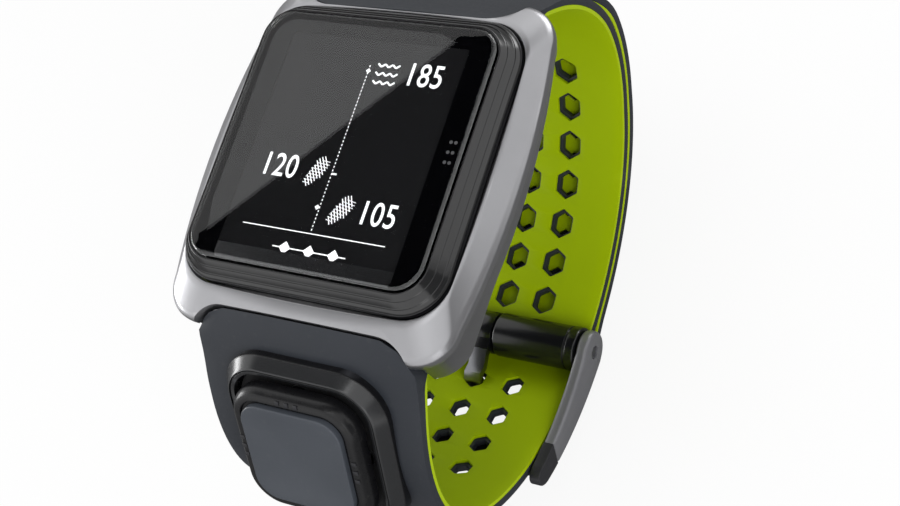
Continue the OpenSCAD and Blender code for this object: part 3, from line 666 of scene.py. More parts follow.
def frame_shell():
    outside = softened([(0.3, FRAME_LOW + 1.6, 0), (0.0, RIDGE_Z - 1.0, 0.6), (0.0, RIDGE_Z - 0.05, 0.22),
                        (0.4, RIDGE_Z + 0.5, 0.35), (1.35, LIP_Z - 0.2, 0.5), (1.58, LIP_Z, 0.12),
                        (LIP_IN, LIP_Z - 0.3, 0)], 5)
    levels = [(frame_ring(RIDGE_IN), foot), (frame_ring(0.32), lambda p: foot(p) + 0.1)]
    levels += [(frame_ring(u), z) for u, z in outside]
    well = outline(bezel_w + 0.1, bezel_l + 0.1, BEZEL_R)
    hollow = outline(FRAME_W - 2 * WALL, FRAME_L - 2 * WALL, FRAME_R - 1, FRAME_BOW, FRAME_Y)
    levels += [(well, LIP_Z - 0.4), (well, LIP_Z - 0.9), (hollow, RIDGE_Z - 0.6), (hollow, foot)]
    bm = loft(levels, closed=True)
    bmesh.ops.recalc_face_normals(bm, faces=bm.faces)
    half = STRAP_W / 2 + NOTCH_PLAY
    bm = cut(bm, block((-half, -FAR, -5), (half, FAR, SLOT_TOP)))
    for k in (-1, 1):
        notch = outline(2 * half, FRAME_L, NOTCH_R, shift=k * (NOTCH_Y[k] - 0.15 + FRAME_L / 2))
        bm = cut(bm, loft([(notch, -1), (notch, top + 1)]))
    soften(bm, steep_edges(bm), 0.1)
    return bm


finished("frame_shell", frame_shell(), BLASTED, "root", "frame_metal", "metal_frame")

# %% [markdown]
# ## The path of the strap
# Both straps follow one loop round the wrist, drawn in the side view. Above the waist it is a
# fuller curve than an ellipse, below it a plain half ellipse. Distance along the loop is measured
# in small steps, so holes can sit at an even pitch on it.

# %% The loop
LOOP_HALF, LOOP_SHIFT, WAIST_Z, LOOP_DEPTH, LOOP_POWER = 29.3, 1.1, 11.5, 21.7, 1.8
RISE_12, RISE_6 = 25.9913, 22.0266  # height of the upper curve over the waist, at either side
T_12, T_6 = -45.221, 230.676  # where the loop ends inside the head, in degrees
LINING_T, STRAP_T = 0.5, 1.45
OUTER_T = STRAP_T - LINING_T


def loop_point(t):
    """Point of the wrist loop's inner line, as (y, z), at t degrees."""
    c, s = math.cos(math.radians(t)), math.sin(math.radians(t))
    if 0 <= t <= 180:
        return Vector((LOOP_HALF * c - LOOP_SHIFT, -WAIST_Z - LOOP_DEPTH * s))
    rise = RISE_12 if t < 90 else RISE_6
    return Vector((math.copysign(LOOP_HALF * abs(c) ** (2 / LOOP_POWER), c) - LOOP_SHIFT,
                   rise * abs(s) ** (2 / LOOP_POWER) - WAIST_Z))


def loop_dir(t):
    return (loop_point(t + 0.2) - loop_point(t - 0.2)).normalized()


def off_point(t, distance):
    d = loop_dir(t)
    return loop_point(t) + distance * Vector((-d.y, d.x))


def lookup(value, xs, ys):
    """Straight-line interpolation in a rising table."""
    if value <= xs[0]:
        return ys[0]
    for k in range(1, len(xs)):
        if value <= xs[k]:
            return ys[k - 1] + (ys[k] - ys[k - 1]) * (value - xs[k - 1]) / (xs[k] - xs[k - 1])
    return ys[-1]


T_LIST = [T_12 + k for k in range(int(T_6 - T_12) + 1)]
RUNS = [0.0]
for here, there in zip(T_LIST, T_LIST[1:]):
    RUNS.append(RUNS[-1] + (loop_point(there) - loop_point(here)).length)


def t_at(run):
    return lookup(run, RUNS, T_LIST)


def run_at(t):
    return lookup(t, T_LIST, RUNS)


barrel_c = Vector(joints["buckle_swing"]["pos_m"][1:]) / MM
print("barrel centre", barrel_c, "loop length", round(RUNS[-1], 1))

# %% [markdown]
# ## Strap layers
# A strap layer is made flat and then bent. The flat plate is as long as its stretch of the loop.
# Six-sided holes are cut through it and its rims are rounded while that is still easy. It is then
# sliced across, and every vertex is laid between an inner and an outer line of the side view.

# %% Flat plate with holes
HOLE_W, HOLE_COL, HOLE_PITCH = 3.3, 5.7, 5.0
TANG_HOLE_W, TANG_PITCH = 2.7, 4.7  # holes that take the tang are smaller and closer
LEDGE = 0.7  # the outer layer's holes are narrower, so a dark ledge shows inside the lime
HALF = STRAP_W / 2


def flat_plate(start, end, thick, holes):
    tool = bmesh.new()
    for x, s, width in holes:
        cylinder(tool, width / math.sqrt(3), 6, Matrix.Translation((x, s, 0)), 6)
    bmesh.ops.recalc_face_normals(tool, faces=tool.faces)
    bm = cut(block((-HALF, start, 0), (HALF, end, thick)), tool)

    def rise(edge):
        return abs(edge.verts[0].co.z - edge.verts[1].co.z)

    uprights = [e for e in steep_edges(bm) if rise(e) > thick / 2]
    soften(bm, [e for e in uprights if abs(e.verts[0].co.x) < HALF - 0.1], 0.16)
    soften(bm, [e for e in steep_edges(bm) if rise(e) < 0.001], min(0.13, thick / 3.2))
    return bm


def sliced(bm, cuts, axis):
    for at in cuts:
        place, normal = Vector((0, 0, 0)), Vector((0, 0, 0))
        place[axis], normal[axis] = at, 1
        bmesh.ops.bisect_plane(bm, geom=bm.verts[:] + bm.edges[:] + bm.faces[:], dist=0.0005,
                               plane_co=place, plane_no=normal)


# %% [markdown]
# Each row of a layer's table holds a distance along the loop, the point on the inner line there
# and the point on the outer line. A few tenths next to either face keep their true thickness, so
# the rounded rims stay round where the root of the strap swells to several times the plate.

# %% Bending a plate
RIM = 0.3
CROWN_POWER = 3.2  # the crown is flat in the middle and falls off near the edges


def bent(bm, rows, thick, width_at, crown_at=None):
    runs, inner, outer = zip(*rows)
    sliced(bm, runs[1:-1], 1)
    sliced(bm, [HALF * f for f in (-0.86, -0.6, -0.3, 0, 0.3, 0.6, 0.86)], 0)
    rim = min(RIM, thick / 3)
    for vert in bm.verts:
        x, s, h = vert.co
        low, high = lookup(s, runs, inner), lookup(s, runs, outer)
        depth = (high - low).length
        if h > thick - rim:
            share = 1 - (thick - h) / depth
        elif h < rim:
            share = h / depth
        else:
            share = rim / depth + (h - rim) / (thick - 2 * rim) * (1 - 2 * rim / depth)
        y, z = low.lerp(high, share)
        if crown_at:
            z -= crown_at(s) * abs(x / HALF) ** CROWN_POWER * share
        vert.co = (x / HALF * width_at(s, y, z), y, z)
    return bm


def layer(rows, thick, holes, width_at, crown_at=None):
    """A flat plate as long as its rows say, bent onto them."""
    return bent(flat_plate(rows[0][0], rows[-1][0], thick, holes), rows, thick, width_at, crown_at)


def hole_spots(first, step, rows, width=HOLE_W):
    return [(k * HOLE_COL, first + step * n, width) for n in range(rows) for k in (-1, 0, 1)]


def narrowed(spots):
    return [(x, s, width - LEDGE) for x, s, width in spots]

# %% [markdown]
# ## Root of the strap
# Inside the frame's notch the outer layer swells into a block that holds the spring bar. Its face
# starts flush with the frame, drops away in one curve and joins the band. It is crowned across:
# high in the middle and about two millimetres lower at the edges.

# %% Root curves
ROOT_IN, ROOT_TOP, ROOT_LOW = 16.65, RIDGE_Z - 0.15, RIDGE_Z - 4.2
ROOT_FACE = {1: LIP_Z - 0.2, -1: RIDGE_Z + 0.97}
ROOT_CROWN = 1.7


def bezier(p0, p1, p2, p3, u):
    a, b, c = p0.lerp(p1, u), p1.lerp(p2, u), p2.lerp(p3, u)
    return a.lerp(b, u).lerp(b.lerp(c, u), u)


def root_rows(side, t_join, count=16):
    """Rows from inside the head (side 1 is 12 o'clock) out to where the band begins."""
    t_end = T_12 if side > 0 else T_6
    s_end, s_join = run_at(t_end), run_at(t_join)
    start = Vector((side * (NOTCH_Y[side] + 0.02), ROOT_FACE[side]))
    joint = off_point(t_join, STRAP_T)
    down = loop_dir(t_join) * side
    one = start + Vector((side * 0.8, -0.6)) * 4.3
    two = joint - down * 4.6
    heel = Vector((side * (ROOT_IN + 1.6), ROOT_LOW))
    rows = []
    for n in range(count + 1):
        u = n / count
        s = s_end + (s_join - s_end) * u
        band = off_point(t_at(s), LINING_T)
        rows.append((s, heel.lerp(band, ease(u / 0.3)), bezier(start, one, two, joint, u)))
    inside = [(s_end - side * d, Vector((side * (ROOT_IN + 1.5 * f), ROOT_LOW)),
               Vector((side * (ROOT_IN + (NOTCH_Y[side] - ROOT_IN) * f), ROOT_TOP - 0.2)))
              for d, f in ((2.3, 0), (1.2, 0.5), (0.06, 1))]
    return inside + rows


def band_rows(t_first, t_last, low, high, follow=None, step=2.5):
    count = max(2, math.ceil(abs(t_last - t_first) / step))
    rows = []
    for n in range(count + 1):
        t = t_first + (t_last - t_first) * n / count
        base = follow(t) if follow else 0
        rows.append((run_at(t), off_point(t, base + low), off_point(t, base + high)))
    return rows


HALF_ROOT, HALF_BAND = HALF - 0.05, HALF - 1.15
TAPER_TOP, TAPER_REACH = 2.0, 26.0


def tapered(z):
    """Half the strap's breadth at this height: it narrows from the head down to the buckle."""
    return HALF_ROOT + (HALF_BAND - HALF_ROOT) * max(0.0, min(1.0, (TAPER_TOP - z) / TAPER_REACH))


def notch_half(y):
    """Half the notch's width at this distance from the middle: its corners are round."""
    v = abs(y) - NOTCH_Y[1 if y > 0 else -1]
    full = HALF + 0.17
    if v >= NOTCH_R:
        return full
    return full - NOTCH_R + math.sqrt(max(0.0, NOTCH_R ** 2 - (NOTCH_R - max(v, 0)) ** 2))


def root_width(plain, y, z):
    """Narrow above the shoulder, where the block fills the notch, and plain below it."""
    above = ease((z - SLOT_TOP + 0.9) / 0.8)
    return plain + (min(plain, notch_half(y)) - plain) * above


def crown(u, reach):
    """Drop of the edges: little in the notch, most just outside it, none where the band begins."""
    return ROOT_CROWN * (0.2 + 0.8 * ease(u / 6)) * (1 - ease(u / reach))


# %% [markdown]
# ## The two straps
# The 12 o'clock strap runs from the head to the buckle's barrel. The 6 o'clock strap carries the
# button, dives under the barrel and lies along the outside of the other one. Both are a dark
# outer layer moulded onto a lime lining.

# %% Upper strap
t_barrel = math.degrees(math.acos((barrel_c.x + LOOP_SHIFT) / LOOP_HALF))
run_barrel = run_at(t_barrel)
BARREL_R = 2.8
BARREL_GAP = 5.6  # from the barrel's middle to the nearest row of holes
JOIN_12, JOIN_6 = -22, 211
LIME_IN = 0.03  # the lining is a hair narrower than the outer layer


def end_near(t, distance):
    """The angle at which the strap meets the barrel."""
    while (off_point(t, distance) - barrel_c).length < BARREL_R - 0.05:
        t -= 0.1
    return t


upper_spots = hole_spots(run_barrel - BARREL_GAP, -HOLE_PITCH, 7)
upper_rows = root_rows(1, JOIN_12) + band_rows(JOIN_12, end_near(t_barrel, 0.9), LINING_T, STRAP_T)[1:]
upper_outer = layer(upper_rows, OUTER_T, narrowed(upper_spots),
                    lambda s, y, z: root_width(tapered(z), y, z), lambda s: crown(s, run_at(JOIN_12)))
upper_lining = layer(band_rows(T_12 + 3, end_near(t_barrel, 0.3), 0, LINING_T), LINING_T, upper_spots,
                     lambda s, y, z: tapered(z) - LIME_IN)
finished("strap_upper_outer_skin", upper_outer, SLATE, "root", "strap_dark", "strap_upper_outer")
finished("strap_upper_lime", upper_lining, LIME, "root", "strap_lime", "strap_upper_lining")

# %% Lower strap
TAIL_OFF, UNDER_OFF = STRAP_T + 0.14, BARREL_R - 0.5 + 0.12  # outside the upper strap, under the barrel
RAMP_IN, RAMP_OUT = 14, 12  # degrees over which the strap dives under the barrel and comes back
TAIL_T, TAIL_R = -17, 8.0
TAIL_GAP = BARREL_GAP + HOLE_PITCH / 2 + 0.7


def lower_off(t):
    if t >= t_barrel:
        return UNDER_OFF * ease((t_barrel + RAMP_IN - t) / RAMP_IN)
    return UNDER_OFF + (TAIL_OFF - UNDER_OFF) * ease((t_barrel - t) / RAMP_OUT)


def lower_half(s, y, z):
    """Half the breadth: a round tip at the loose end, the notch's form in the head."""
    plain = tapered(z)
    u = s - run_at(TAIL_T)
    if u < TAIL_R:
        plain += -TAIL_R + math.sqrt(max(0.0, TAIL_R ** 2 - (TAIL_R - u) ** 2))
    return root_width(plain, y, z) if y < -12 else plain


def tail_rows(t_last, low, high):
    """Rows from the loose end's tip, close together at first, on to t_last."""
    return (band_rows(TAIL_T, TAIL_T + 15, low, high, lower_off, 0.8)
            + band_rows(TAIL_T + 15, t_last, low, high, lower_off)[1:])


tang_spot = run_barrel + 6.3
lower_spots = hole_spots(tang_spot, TANG_PITCH, 4, TANG_HOLE_W)
lower_spots += hole_spots(run_barrel - TAIL_GAP, -TANG_PITCH, 8, TANG_HOLE_W)
lower_rows = tail_rows(JOIN_6, LINING_T, STRAP_T) + sorted(root_rows(-1, JOIN_6))[1:]
lower_outer = layer(lower_rows, OUTER_T, narrowed(lower_spots), lower_half,
                    lambda s: crown(RUNS[-1] - s, RUNS[-1] - run_at(JOIN_6)))
lower_lining = layer(tail_rows(T_6 - 3, 0, LINING_T), LINING_T, lower_spots,
                     lambda s, y, z: lower_half(s, 0, z) - LIME_IN)
finished("strap_lower_outer_skin", lower_outer, SLATE, "root", "strap_dark", "strap_lower_outer")
finished("strap_lower_lime", lower_lining, LIME, "root", "strap_lime", "strap_lower_lining")

# %% [markdown]
# ## Buckle
# The buckle is two flat arms with round knuckles, joined by a bar at their free end. It swings
# on the pin in a glossy barrel, which is turned from a profile. Each arm is a drawn outline that
# is extruded to its thickness and then rounded.

# %% Outlines along X


def slab(points, x0, x1, edge=0.3, segments=3):
    """Solid between two X planes with the outline (y, z), its long edges rounded."""
    bm = bmesh.new()
    face = bm.faces.new([bm.verts.new((x0, p[0], p[1])) for p in points])
    made = bmesh.ops.extrude_face_region(bm, geom=[face])["geom"]
    bmesh.ops.translate(bm, vec=(x1 - x0, 0, 0), verts=[g for g in made if isinstance(g, bmesh.types.BMVert)])
    bmesh.ops.recalc_face_normals(bm, faces=bm.faces)
    rims = [e for e in steep_edges(bm, 60) if abs(e.verts[0].co.x - e.verts[1].co.x) < 0.001]
    soften(bm, rims, edge, segments)
    return bm


def joined(*shapes):
    bm = bmesh.new()
    for shape in shapes:
        mesh = mesh_of("part", shape)
        bm.from_mesh(mesh)
        bpy.data.meshes.remove(mesh)
    return bm


def rod(y, z, radius, x0, x1, segments=40):
    bm = bmesh.new()
    place = Matrix.Translation(((x0 + x1) / 2, y, z)) @ Matrix.Rotation(math.pi / 2, 4, "Y")
    cylinder(bm, radius, abs(x1 - x0), place, segments)
    return bm


# %% Buckle frame
STRAP_B = STRAP_W - 2.2
ARM_X, ARM_T = STRAP_B / 2 + 0.2, 1.5
KNUCKLE_R, ARM_OUT, ARM_LOW = 2.6, 3.1, -3.0
T_BAR, BAR_LEN, ARM_END = 131, 6, 125
PIN_R = 0.75


def arm_sides(start, end, steps):
    """Outer and inner edge of an arm between two angles; it tapers from the knuckle to the bar."""
    outer, inner = [], []
    for k in range(steps + 1):
        t = start + (end - start) * k / steps
        share = (t - t_barrel) / (T_BAR - t_barrel)
        outer.append(off_point(t, ARM_OUT - 0.9 * (1 - share)))
        inner.append(off_point(t, ARM_LOW + 3.3 * share))
    return outer, inner


def arm_outline():
    outer, inner = arm_sides(t_barrel, ARM_END, 22)
    inner = [p for p in inner if (p - barrel_c).length > KNUCKLE_R + 0.05]
    out = outer[0] - barrel_c
    first, last = math.atan2(out.y, out.x), math.atan2(*(inner[0] - barrel_c).yx)
    span = (last - first) % (2 * math.pi)
    arc = [barrel_c + KNUCKLE_R * Vector((math.cos(first + span * k / 24), math.sin(first + span * k / 24)))
           for k in range(1, 24)]
    return outer[::-1] + arc + inner


def buckle_arms():
    shapes = []
    for side in (-1, 1):
        x0, x1 = sorted((side * ARM_X, side * (ARM_X + ARM_T)))
        arm = slab(arm_outline(), x0, x1, 0.45)
        shapes.append(cut(arm, rod(barrel_c.x, barrel_c.y, PIN_R + 0.1, x0 - 1, x1 + 1)))
    return joined(*shapes)


def bar_end():
    """Round-nosed outline of the block at either end of the bar."""
    outer, inner = arm_sides(ARM_END + 0.1, T_BAR, 12)
    half = (outer[-1] - inner[-1]) / 2
    along = loop_dir(T_BAR) * half.length * 1.3
    nose = [outer[-1] - half + math.cos(math.radians(a)) * half + math.sin(math.radians(a)) * along
            for a in range(15, 180, 15)]
    return outer + nose + inner[::-1]


def buckle_bar():
    """The bar that joins the arms: a groove along its outer face and a round block at each end."""
    steps = 10
    ts = [T_BAR - BAR_LEN * (1 - k / steps) for k in range(steps + 1)]
    dip = [0.25 * math.sin(math.pi * min(1, max(0, (k - 2) / (steps - 4)))) for k in range(steps + 1)]
    outer = [off_point(t, ARM_OUT - 0.2 - d) for t, d in zip(ts, dip)]
    inner = [off_point(t, STRAP_T + 0.4) for t in ts]
    shapes = [slab(outer[::-1] + inner, -ARM_X - 0.05, ARM_X + 0.05, 0.2)]
    for side in (-1, 1):
        x0, x1 = sorted((side * ARM_X, side * (ARM_X + ARM_T - 0.05)))
        shapes.append(slab(bar_end(), x0, x1, 0.35))
    return joined(*shapes)


finished("buckle_arms", buckle_arms(), BUCKLE, "buckle", "buckle_grey", "buckle_frame", sharp=40)
# The bar gets the near-black finish as painted shade; the arms show the frame's own grey.
finished("buckle_bar", buckle_bar(), BAR_SHADE_AND_MARK_BLACK, "buckle", "buckle_grey", "buckle_frame", sharp=40)

# %% Barrel and tang
TANG_W, TANG_GAP = 2.2, 0.3


def barrel():
    """Two turned halves, each with a raised ring at its outer end."""
    start, end = TANG_W / 2 + TANG_GAP, STRAP_B / 2
    bore, body, groove = PIN_R + 0.03, BARREL_R - 0.05, BARREL_R - 0.2
    profile = softened([(start, bore, 0), (start, body, 0.25), (end - 1.5, body, 0.05),
                        (end - 1.45, groove, 0.05), (end - 1.25, groove, 0.05),
                        (end - 1.2, BARREL_R, 0.15), (end, BARREL_R, 0.3), (end, bore, 0)])
    shapes = []
    for side in (-1, 1):
        bm = bmesh.new()
        verts = [bm.verts.new((side * p.x, barrel_c.x, barrel_c.y + p.y)) for p in profile]
        edges = [bm.edges.new(pair) for pair in zip(verts, verts[1:] + verts[:1])]
        bmesh.ops.spin(bm, geom=verts + edges, cent=(0, barrel_c.x, barrel_c.y), axis=(1, 0, 0),
                       angle=2 * math.pi, steps=56, use_merge=True, use_duplicate=False)
        shapes.append(bm)
    return joined(*shapes)


def tang_line():
    """Middle line of the blade: over the pin, along the strap and out through its hole."""
    t_hole = t_at(tang_spot)
    along, out = loop_dir(t_hole), Vector((-loop_dir(t_hole).y, loop_dir(t_hole).x))
    hole = off_point(t_hole, 0)
    crest, tip = hole - 0.75 * out, hole + (STRAP_T + 0.9) * out
    root = barrel_c + Vector((0, 1.55))
    return [root + Vector((0.6, 0)), root + Vector((-1.4, 0.05)), root + Vector((-2.8, 0.0)),
            crest - 1.2 * along + 0.05 * out, crest, crest + 0.35 * along + 0.35 * out,
            hole + 0.4 * along + 0.4 * out, tip + 0.15 * along]


def ribbon(path, half, width, last=1.0):
    """Strip of even thickness along a line; the last point may be thinner."""
    left, right = [], []
    for k, p in enumerate(path):
        d = (path[min(k + 1, len(path) - 1)] - path[max(k - 1, 0)]).normalized()
        n = Vector((-d.y, d.x)) * half * (last if k == len(path) - 1 else 1)
        left.append(p + n)
        right.append(p - n)
    return slab(left + right[::-1], -width / 2, width / 2, 0.18, 2)


def tang_eye():
    """The dark sleeve that carries the blade on the pin and covers its first stretch."""
    eye = rod(barrel_c.x, barrel_c.y, BARREL_R - 0.15, -TANG_W / 2, TANG_W / 2, 56)
    soften(eye, steep_edges(eye, 60), 0.2)
    return joined(cut(eye, rod(barrel_c.x, barrel_c.y, PIN_R + 0.05, -3, 3)),
                  ribbon(tang_line()[:3], 0.64, TANG_W + 0.16))


finished("barrel_halves", barrel(), BARREL, "root", "barrel_black", "hinge_barrel", sharp=40)
finished("tang_blade", ribbon(tang_line(), 0.5, TANG_W, 0.75), STEEL, "tang", "tang_metal", "tang", sharp=40)
finished("tang_sleeve", tang_eye(), BARREL, "tang", "tang_metal", "tang", sharp=40)

# %% [markdown]
# ## Button
# The four-way button sits on the 6 o'clock strap and rocks on a gimbal. It is drawn in its own
# frame: X across, V up the strap, N out of it. That frame comes from the gimbal's joints. The
# housing's foot follows the strap's curved face, so no gap shows under it.

# %% The button's frame
PIVOT_Z = 1.75
up_slope = Vector(joints["button_roll"]["axis"])
normal = Vector((0, -up_slope.z, up_slope.y))
pod_c = Vector(joints["button_tilt"]["pos_m"]) / MM - PIVOT_Z * normal
TO_POD = Matrix.Translation(pod_c) @ Matrix(((1, 0, 0), up_slope, normal)).transposed().to_4x4()
POD_W, CAP_W, PAD_W = 20.6, 15.8, 12.6
POD_R, CAP_R, PAD_R = 5.5, 3.9, 2.6
CAVITY = 1.75  # from the housing's outside to its inner wall
POD_RIM, CAP_TOP, PAD_H = 1.7, 3.5, 4.0
FLOOR_Z = 0.2


def in_pod(bm):
    bmesh.ops.transform(bm, matrix=TO_POD, verts=bm.verts)
    return bm


face_line = [row[2] for row in band_rows(t_barrel + RAMP_IN, JOIN_6, LINING_T, STRAP_T)]
face_line += [row[2] for row in sorted(root_rows(-1, JOIN_6))[1:-3]]
face_v = [(p - pod_c.yz).dot(up_slope.yz) for p in face_line]
face_n = [(p - pod_c.yz).dot(normal.yz) for p in face_line]


def sunk(p, depth=0.35):
    """Height of the strap's face under a point of the button's outline, less a little."""
    return lookup(p.y, face_v, face_n) - depth


# %% Housing, collar, cap and pad


def pod_housing():
    levels = rings(POD_W, POD_W, POD_R, [
        (0.05, 0.0, 0), (0.0, 0.35, 0.1), (0.06, 0.45, 0.05), (0.5, 0.5, 0), (1.42, 0.9, 0),
        (1.44, 1.42, 0.06), (CAVITY - 0.04, 1.42, 0.08), (CAVITY, FLOOR_Z + 0.3, 0),
        (CAVITY, FLOOR_Z - 0.05, 0)], 3)
    foot_in, foot_out = outline(POD_W - 2 * CAVITY, POD_W - 2 * CAVITY, POD_R - CAVITY), levels[0][0]
    return loft([(foot_out, sunk)] + levels + [(foot_in, lambda p: sunk(p, 0.1) - 0.3)], closed=True)


def pod_collar():
    return loft(rings(POD_W - 0.1, POD_W - 0.1, POD_R - 0.05, [
        (0.0, 0.2, 0), (0.0, 0.42, 0.12), (1.0, POD_RIM - 0.1, 0.25), (1.16, POD_RIM, 0.06),
        (1.2, POD_RIM - 0.3, 0.02), (1.3, POD_RIM - 0.3, 0.02), (1.34, POD_RIM - 0.08, 0.04),
        (1.76, POD_RIM - 0.14, 0.1), (1.82, POD_RIM - 0.6, 0), (1.82, 0.55, 0), (0.5, 0.3, 0)]), closed=True)


def button_cap():
    rim = (CAP_W - PAD_W) / 2
    return loft(rings(CAP_W, CAP_W, CAP_R, [
        (CAP_W / 2 - 1.2, CAP_TOP - 0.75, 0), (0.8, CAP_TOP - 0.75, 0), (0.8, 1.45, 0), (0.0, 1.45, 0.1),
        (0.0, 2.75, 0.4), (0.45, CAP_TOP - 0.06, 0.35), (rim - 0.3, CAP_TOP + 0.02, 0.12),
        (rim - 0.24, CAP_TOP - 0.3, 0.05), (rim + 0.4, CAP_TOP - 0.3, 0)], 5))


def rim_marks():
    """Three small raised bars on each side of the rim."""
    bm = bmesh.new()
    across = (CAP_W + PAD_W) / 4 - 0.02
    for quarter in range(4):
        turn = Matrix.Rotation(math.pi / 2 * quarter, 4, "Z")
        for k in (-1, 0, 1):
            cuboid(bm, (0.5, 0.62, 0.16), turn @ Matrix.Translation((1.15 * k, across, CAP_TOP)))
    soften(bm, steep_edges(bm, 60), 0.05)
    return bm


def button_pad():
    """Pad with a shallow dish; its corners tighten less than its sides move in."""
    return loft(rings(PAD_W, PAD_W, PAD_R, [
        (0.0, CAP_TOP - 0.25, 0), (0.0, PAD_H - 0.08, 0.06), (0.1, PAD_H, 0.06), (0.7, PAD_H - 0.03, 0.2),
        (2.2, PAD_H - 0.16, 0.8), (4.0, PAD_H - 0.24, 0.8), (PAD_W / 2 - 0.6, PAD_H - 0.27, 0)], 5, 0.45))


finished("pod_shell", in_pod(pod_housing()), SATIN, "root", "pod_black", "pod_housing")
finished("pod_collar_ring", in_pod(pod_collar()), COLLAR, "root", "collar_satin", "pod_collar")
finished("button_rim", in_pod(button_cap()), SATIN, "button", "pod_black", "button_cap")
finished("button_rim_marks", in_pod(rim_marks()), BAR_SHADE_AND_MARK_BLACK, "button", "pod_black", "button_cap")
finished("button_face", in_pod(button_pad()), PAD, "button", "pad_slate", "button_pad")

# %% [markdown]
# ## Camera
# The camera stands above and to the right of the watch and looks down on the display, with the
# head turned so that the button is nearest.

# %% Camera
CAMERA_AT = (0.0925, -0.0509, 0.1449)
look = Vector((-0.481, 0.261, -0.837)).normalized()
right = look.cross(Vector((-0.150, 0.916, 0.372))).normalized()
turned = Matrix((right, right.cross(look), -look)).transposed().to_4x4()
camera = placed("camera", bpy.data.cameras.new("camera"))
camera.matrix_world = Matrix.Translation(CAMERA_AT) @ turned
camera.data.lens, camera.data.sensor_width = 64.98, 36
camera.data.clip_start = 0.005
scene.camera = camera

# %% [markdown]
# ## Floor and light
# A pale floor stands under the lowest point of the strap. Five soft area lamps light the watch:
# a broad one overhead, one from the right for the flank of the frame, a low one from the left,
# and two weak ones for the near corner of the frame and for the back. The world is white
# wherever it is seen, directly or in a reflection, and about half as bright where it lights.

# %% Floor


def flat_sheet(name, corners, material):
    """Four-cornered stage piece."""
    bm = bmesh.new()
    bm.faces.new([bm.verts.new(corner) for corner in corners])
    made = placed(name, mesh_of(name, bm))
    made.data.materials.append(material)
    return made


def seen_rays(tree):
    """Node and output that give 1 for camera, glossy and transmission rays, and else 0."""
    path = node(tree, "LightPath")
    total = (path, "Is Camera Ray")
    for kind in ("Is Glossy Ray", "Is Transmission Ray"):
        most = node(tree, "Math", operation="MAXIMUM")
        wire(tree, (*total, most, 0), (path, kind, most, 1))
        total = (most, 0)
    return total


def pale_floor():
    """Matt and pale; where it is seen, part of its whiteness is its own, so the shadow stays soft."""
    material, tree, shader = new_material("pale_floor", base_color=(0.8, 0.8, 0.8, 1), roughness=0.9,
                                          specular_ior_level=0.1)
    own, mix = node(tree, "Emission"), node(tree, "MixShader")
    share = node(tree, "Math", {1: 0.88}, operation="MULTIPLY")
    wire(tree, (*seen_rays(tree), share, 0), (share, 0, mix, "Fac"), (shader, 0, mix, 1),
         (own, 0, mix, 2), (mix, 0, tree.nodes["Material Output"], "Surface"))
    return material


REACH = 1.5
flat_sheet("floor", [(x * REACH, y * REACH, cad_low.z) for x, y in ((-1, -1), (1, -1), (1, 1), (-1, 1))],
           pale_floor())

# %% World and lamps
world = bpy.data.worlds.new("studio")
scene.world = world
world.use_nodes = True
air = world.node_tree
plain, mix = air.nodes["Background"], node(air, "MixShader")
plain.inputs["Color"].default_value, plain.inputs["Strength"].default_value = (1, 1, 1, 1), 0.55
seen = node(air, "Background", {"Color": (1, 1, 1, 1), "Strength": 1.0})
wire(air, (*seen_rays(air), mix, "Fac"), (plain, 0, mix, 1), (seen, 0, mix, 2),
     (mix, 0, air.nodes["World Output"], "Surface"))


def lamp(name, place, aim, width, height, watts):
    light = bpy.data.lights.new(name, "AREA")
    light.shape, light.size, light.size_y, light.energy = "RECTANGLE", width, height, watts
    holder = placed(name, light)
    holder.location = place
    holder.rotation_euler = (Vector(aim) - Vector(place)).to_track_quat("-Z", "Y").to_euler()
    return holder


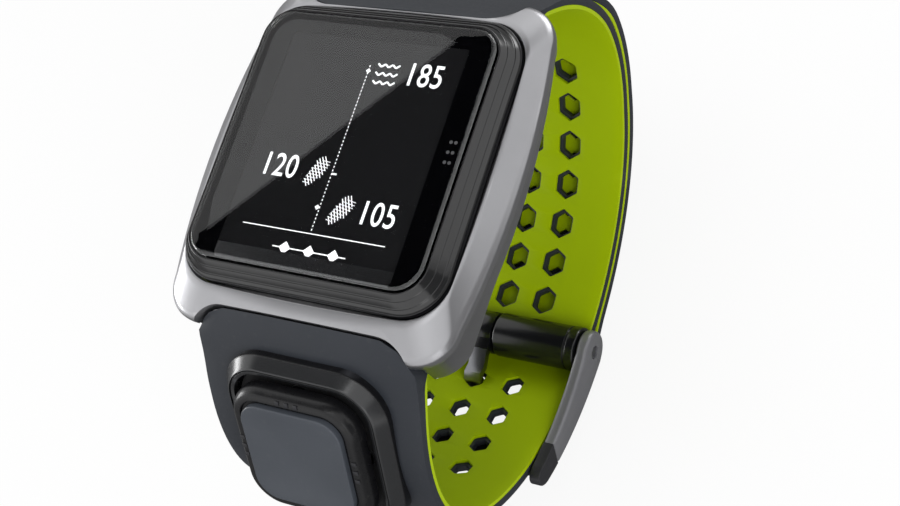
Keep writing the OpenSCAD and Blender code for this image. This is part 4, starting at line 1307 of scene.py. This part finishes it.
lamp("overhead", (-0.10, 0.05, 0.55), (0, 0, 0), 0.5, 0.4, 1.3)
lamp("right_side", (0.42, -0.25, 0.28), (0, 0, -0.01), 0.3, 0.3, 1.7).visible_glossy = False
lamp("left_low", (-0.55, -0.10, 0.06), (0, 0, -0.01), 0.3, 0.14, 1.1)
lamp("corner", (0.25, -0.33, 0.27), (0, 0, 0), 0.12, 0.12, 0.06)
lamp("back_low", (0.1, 0.5, 0.06), (0, 0, 0), 0.3, 0.12, 0.5)
print("lamps", len(bpy.data.lights))

# %% [markdown]
# Polished glass only looks like glass when it mirrors an edge. A dark card hangs where the glass
# mirrors it in its lower right half, so the upper left half stays pale and the two meet in one
# slanting line. Only reflections see the card. Its edge is found by casting the camera's mirror
# image through two points of the glass.

# %% Dark card for the glass
CARD_Z, CARD_BREADTH = 0.3, 0.26
mirror_eye = Vector((camera.location.x, camera.location.y, 2 * top * MM - camera.location.z))


def on_card(x, y):
    """Point at the card's height that the camera sees mirrored at x, y (mm) of the glass."""
    spot = Vector((x, y, top)) * MM
    ray = spot - mirror_eye
    return mirror_eye + ray * ((CARD_Z - mirror_eye.z) / ray.z)


def dark_card(name, corners, grey, hidden=("camera", "diffuse", "volume_scatter", "shadow")):
    """Matt card; the kinds of ray in hidden don't see it."""
    material = new_material(name, base_color=(grey, grey, grey, 1), specular_ior_level=0.0)[0]
    card = flat_sheet(name, corners, material)
    for kind in hidden:
        setattr(card, "visible_" + kind, False)


first, last = on_card(11.06, 14.79), on_card(-13.73, -13.32)
along = (last - first).normalized()
away = on_card(14, -14) - first
away = CARD_BREADTH * (away - away.dot(along) * along).normalized()
near, far = first - along * 0.5, last + along * 0.12
dark_card("glass_card", [near, far, far + away, near + away], 0.004)

# %% [markdown]
# Two grey cards darken what the metal and the glossy blacks mirror, as flags do in a studio: one
# lies low around the watch and one stands at the right.

# %% Grey cards
ONLY_GLOSSY = ("camera", "diffuse", "transmission", "volume_scatter", "shadow")
LOW = cad_low.z + 0.0005
dark_card("low_card", [(x, y, LOW) for x, y in ((-0.35, -0.6), (0.25, -0.6), (0.25, 0.4), (-0.35, 0.4))],
          0.2, ONLY_GLOSSY)
dark_card("right_card", [(0.5, y, z) for y, z in ((-0.35, -0.05), (0.1, -0.05), (0.1, 0.4), (-0.35, 0.4))],
          0.16, ONLY_GLOSSY)

# %% [markdown]
# ## Finish
# The last step sets the colour view to Standard.

# %% Finish
scene.view_settings.view_transform = "Standard"
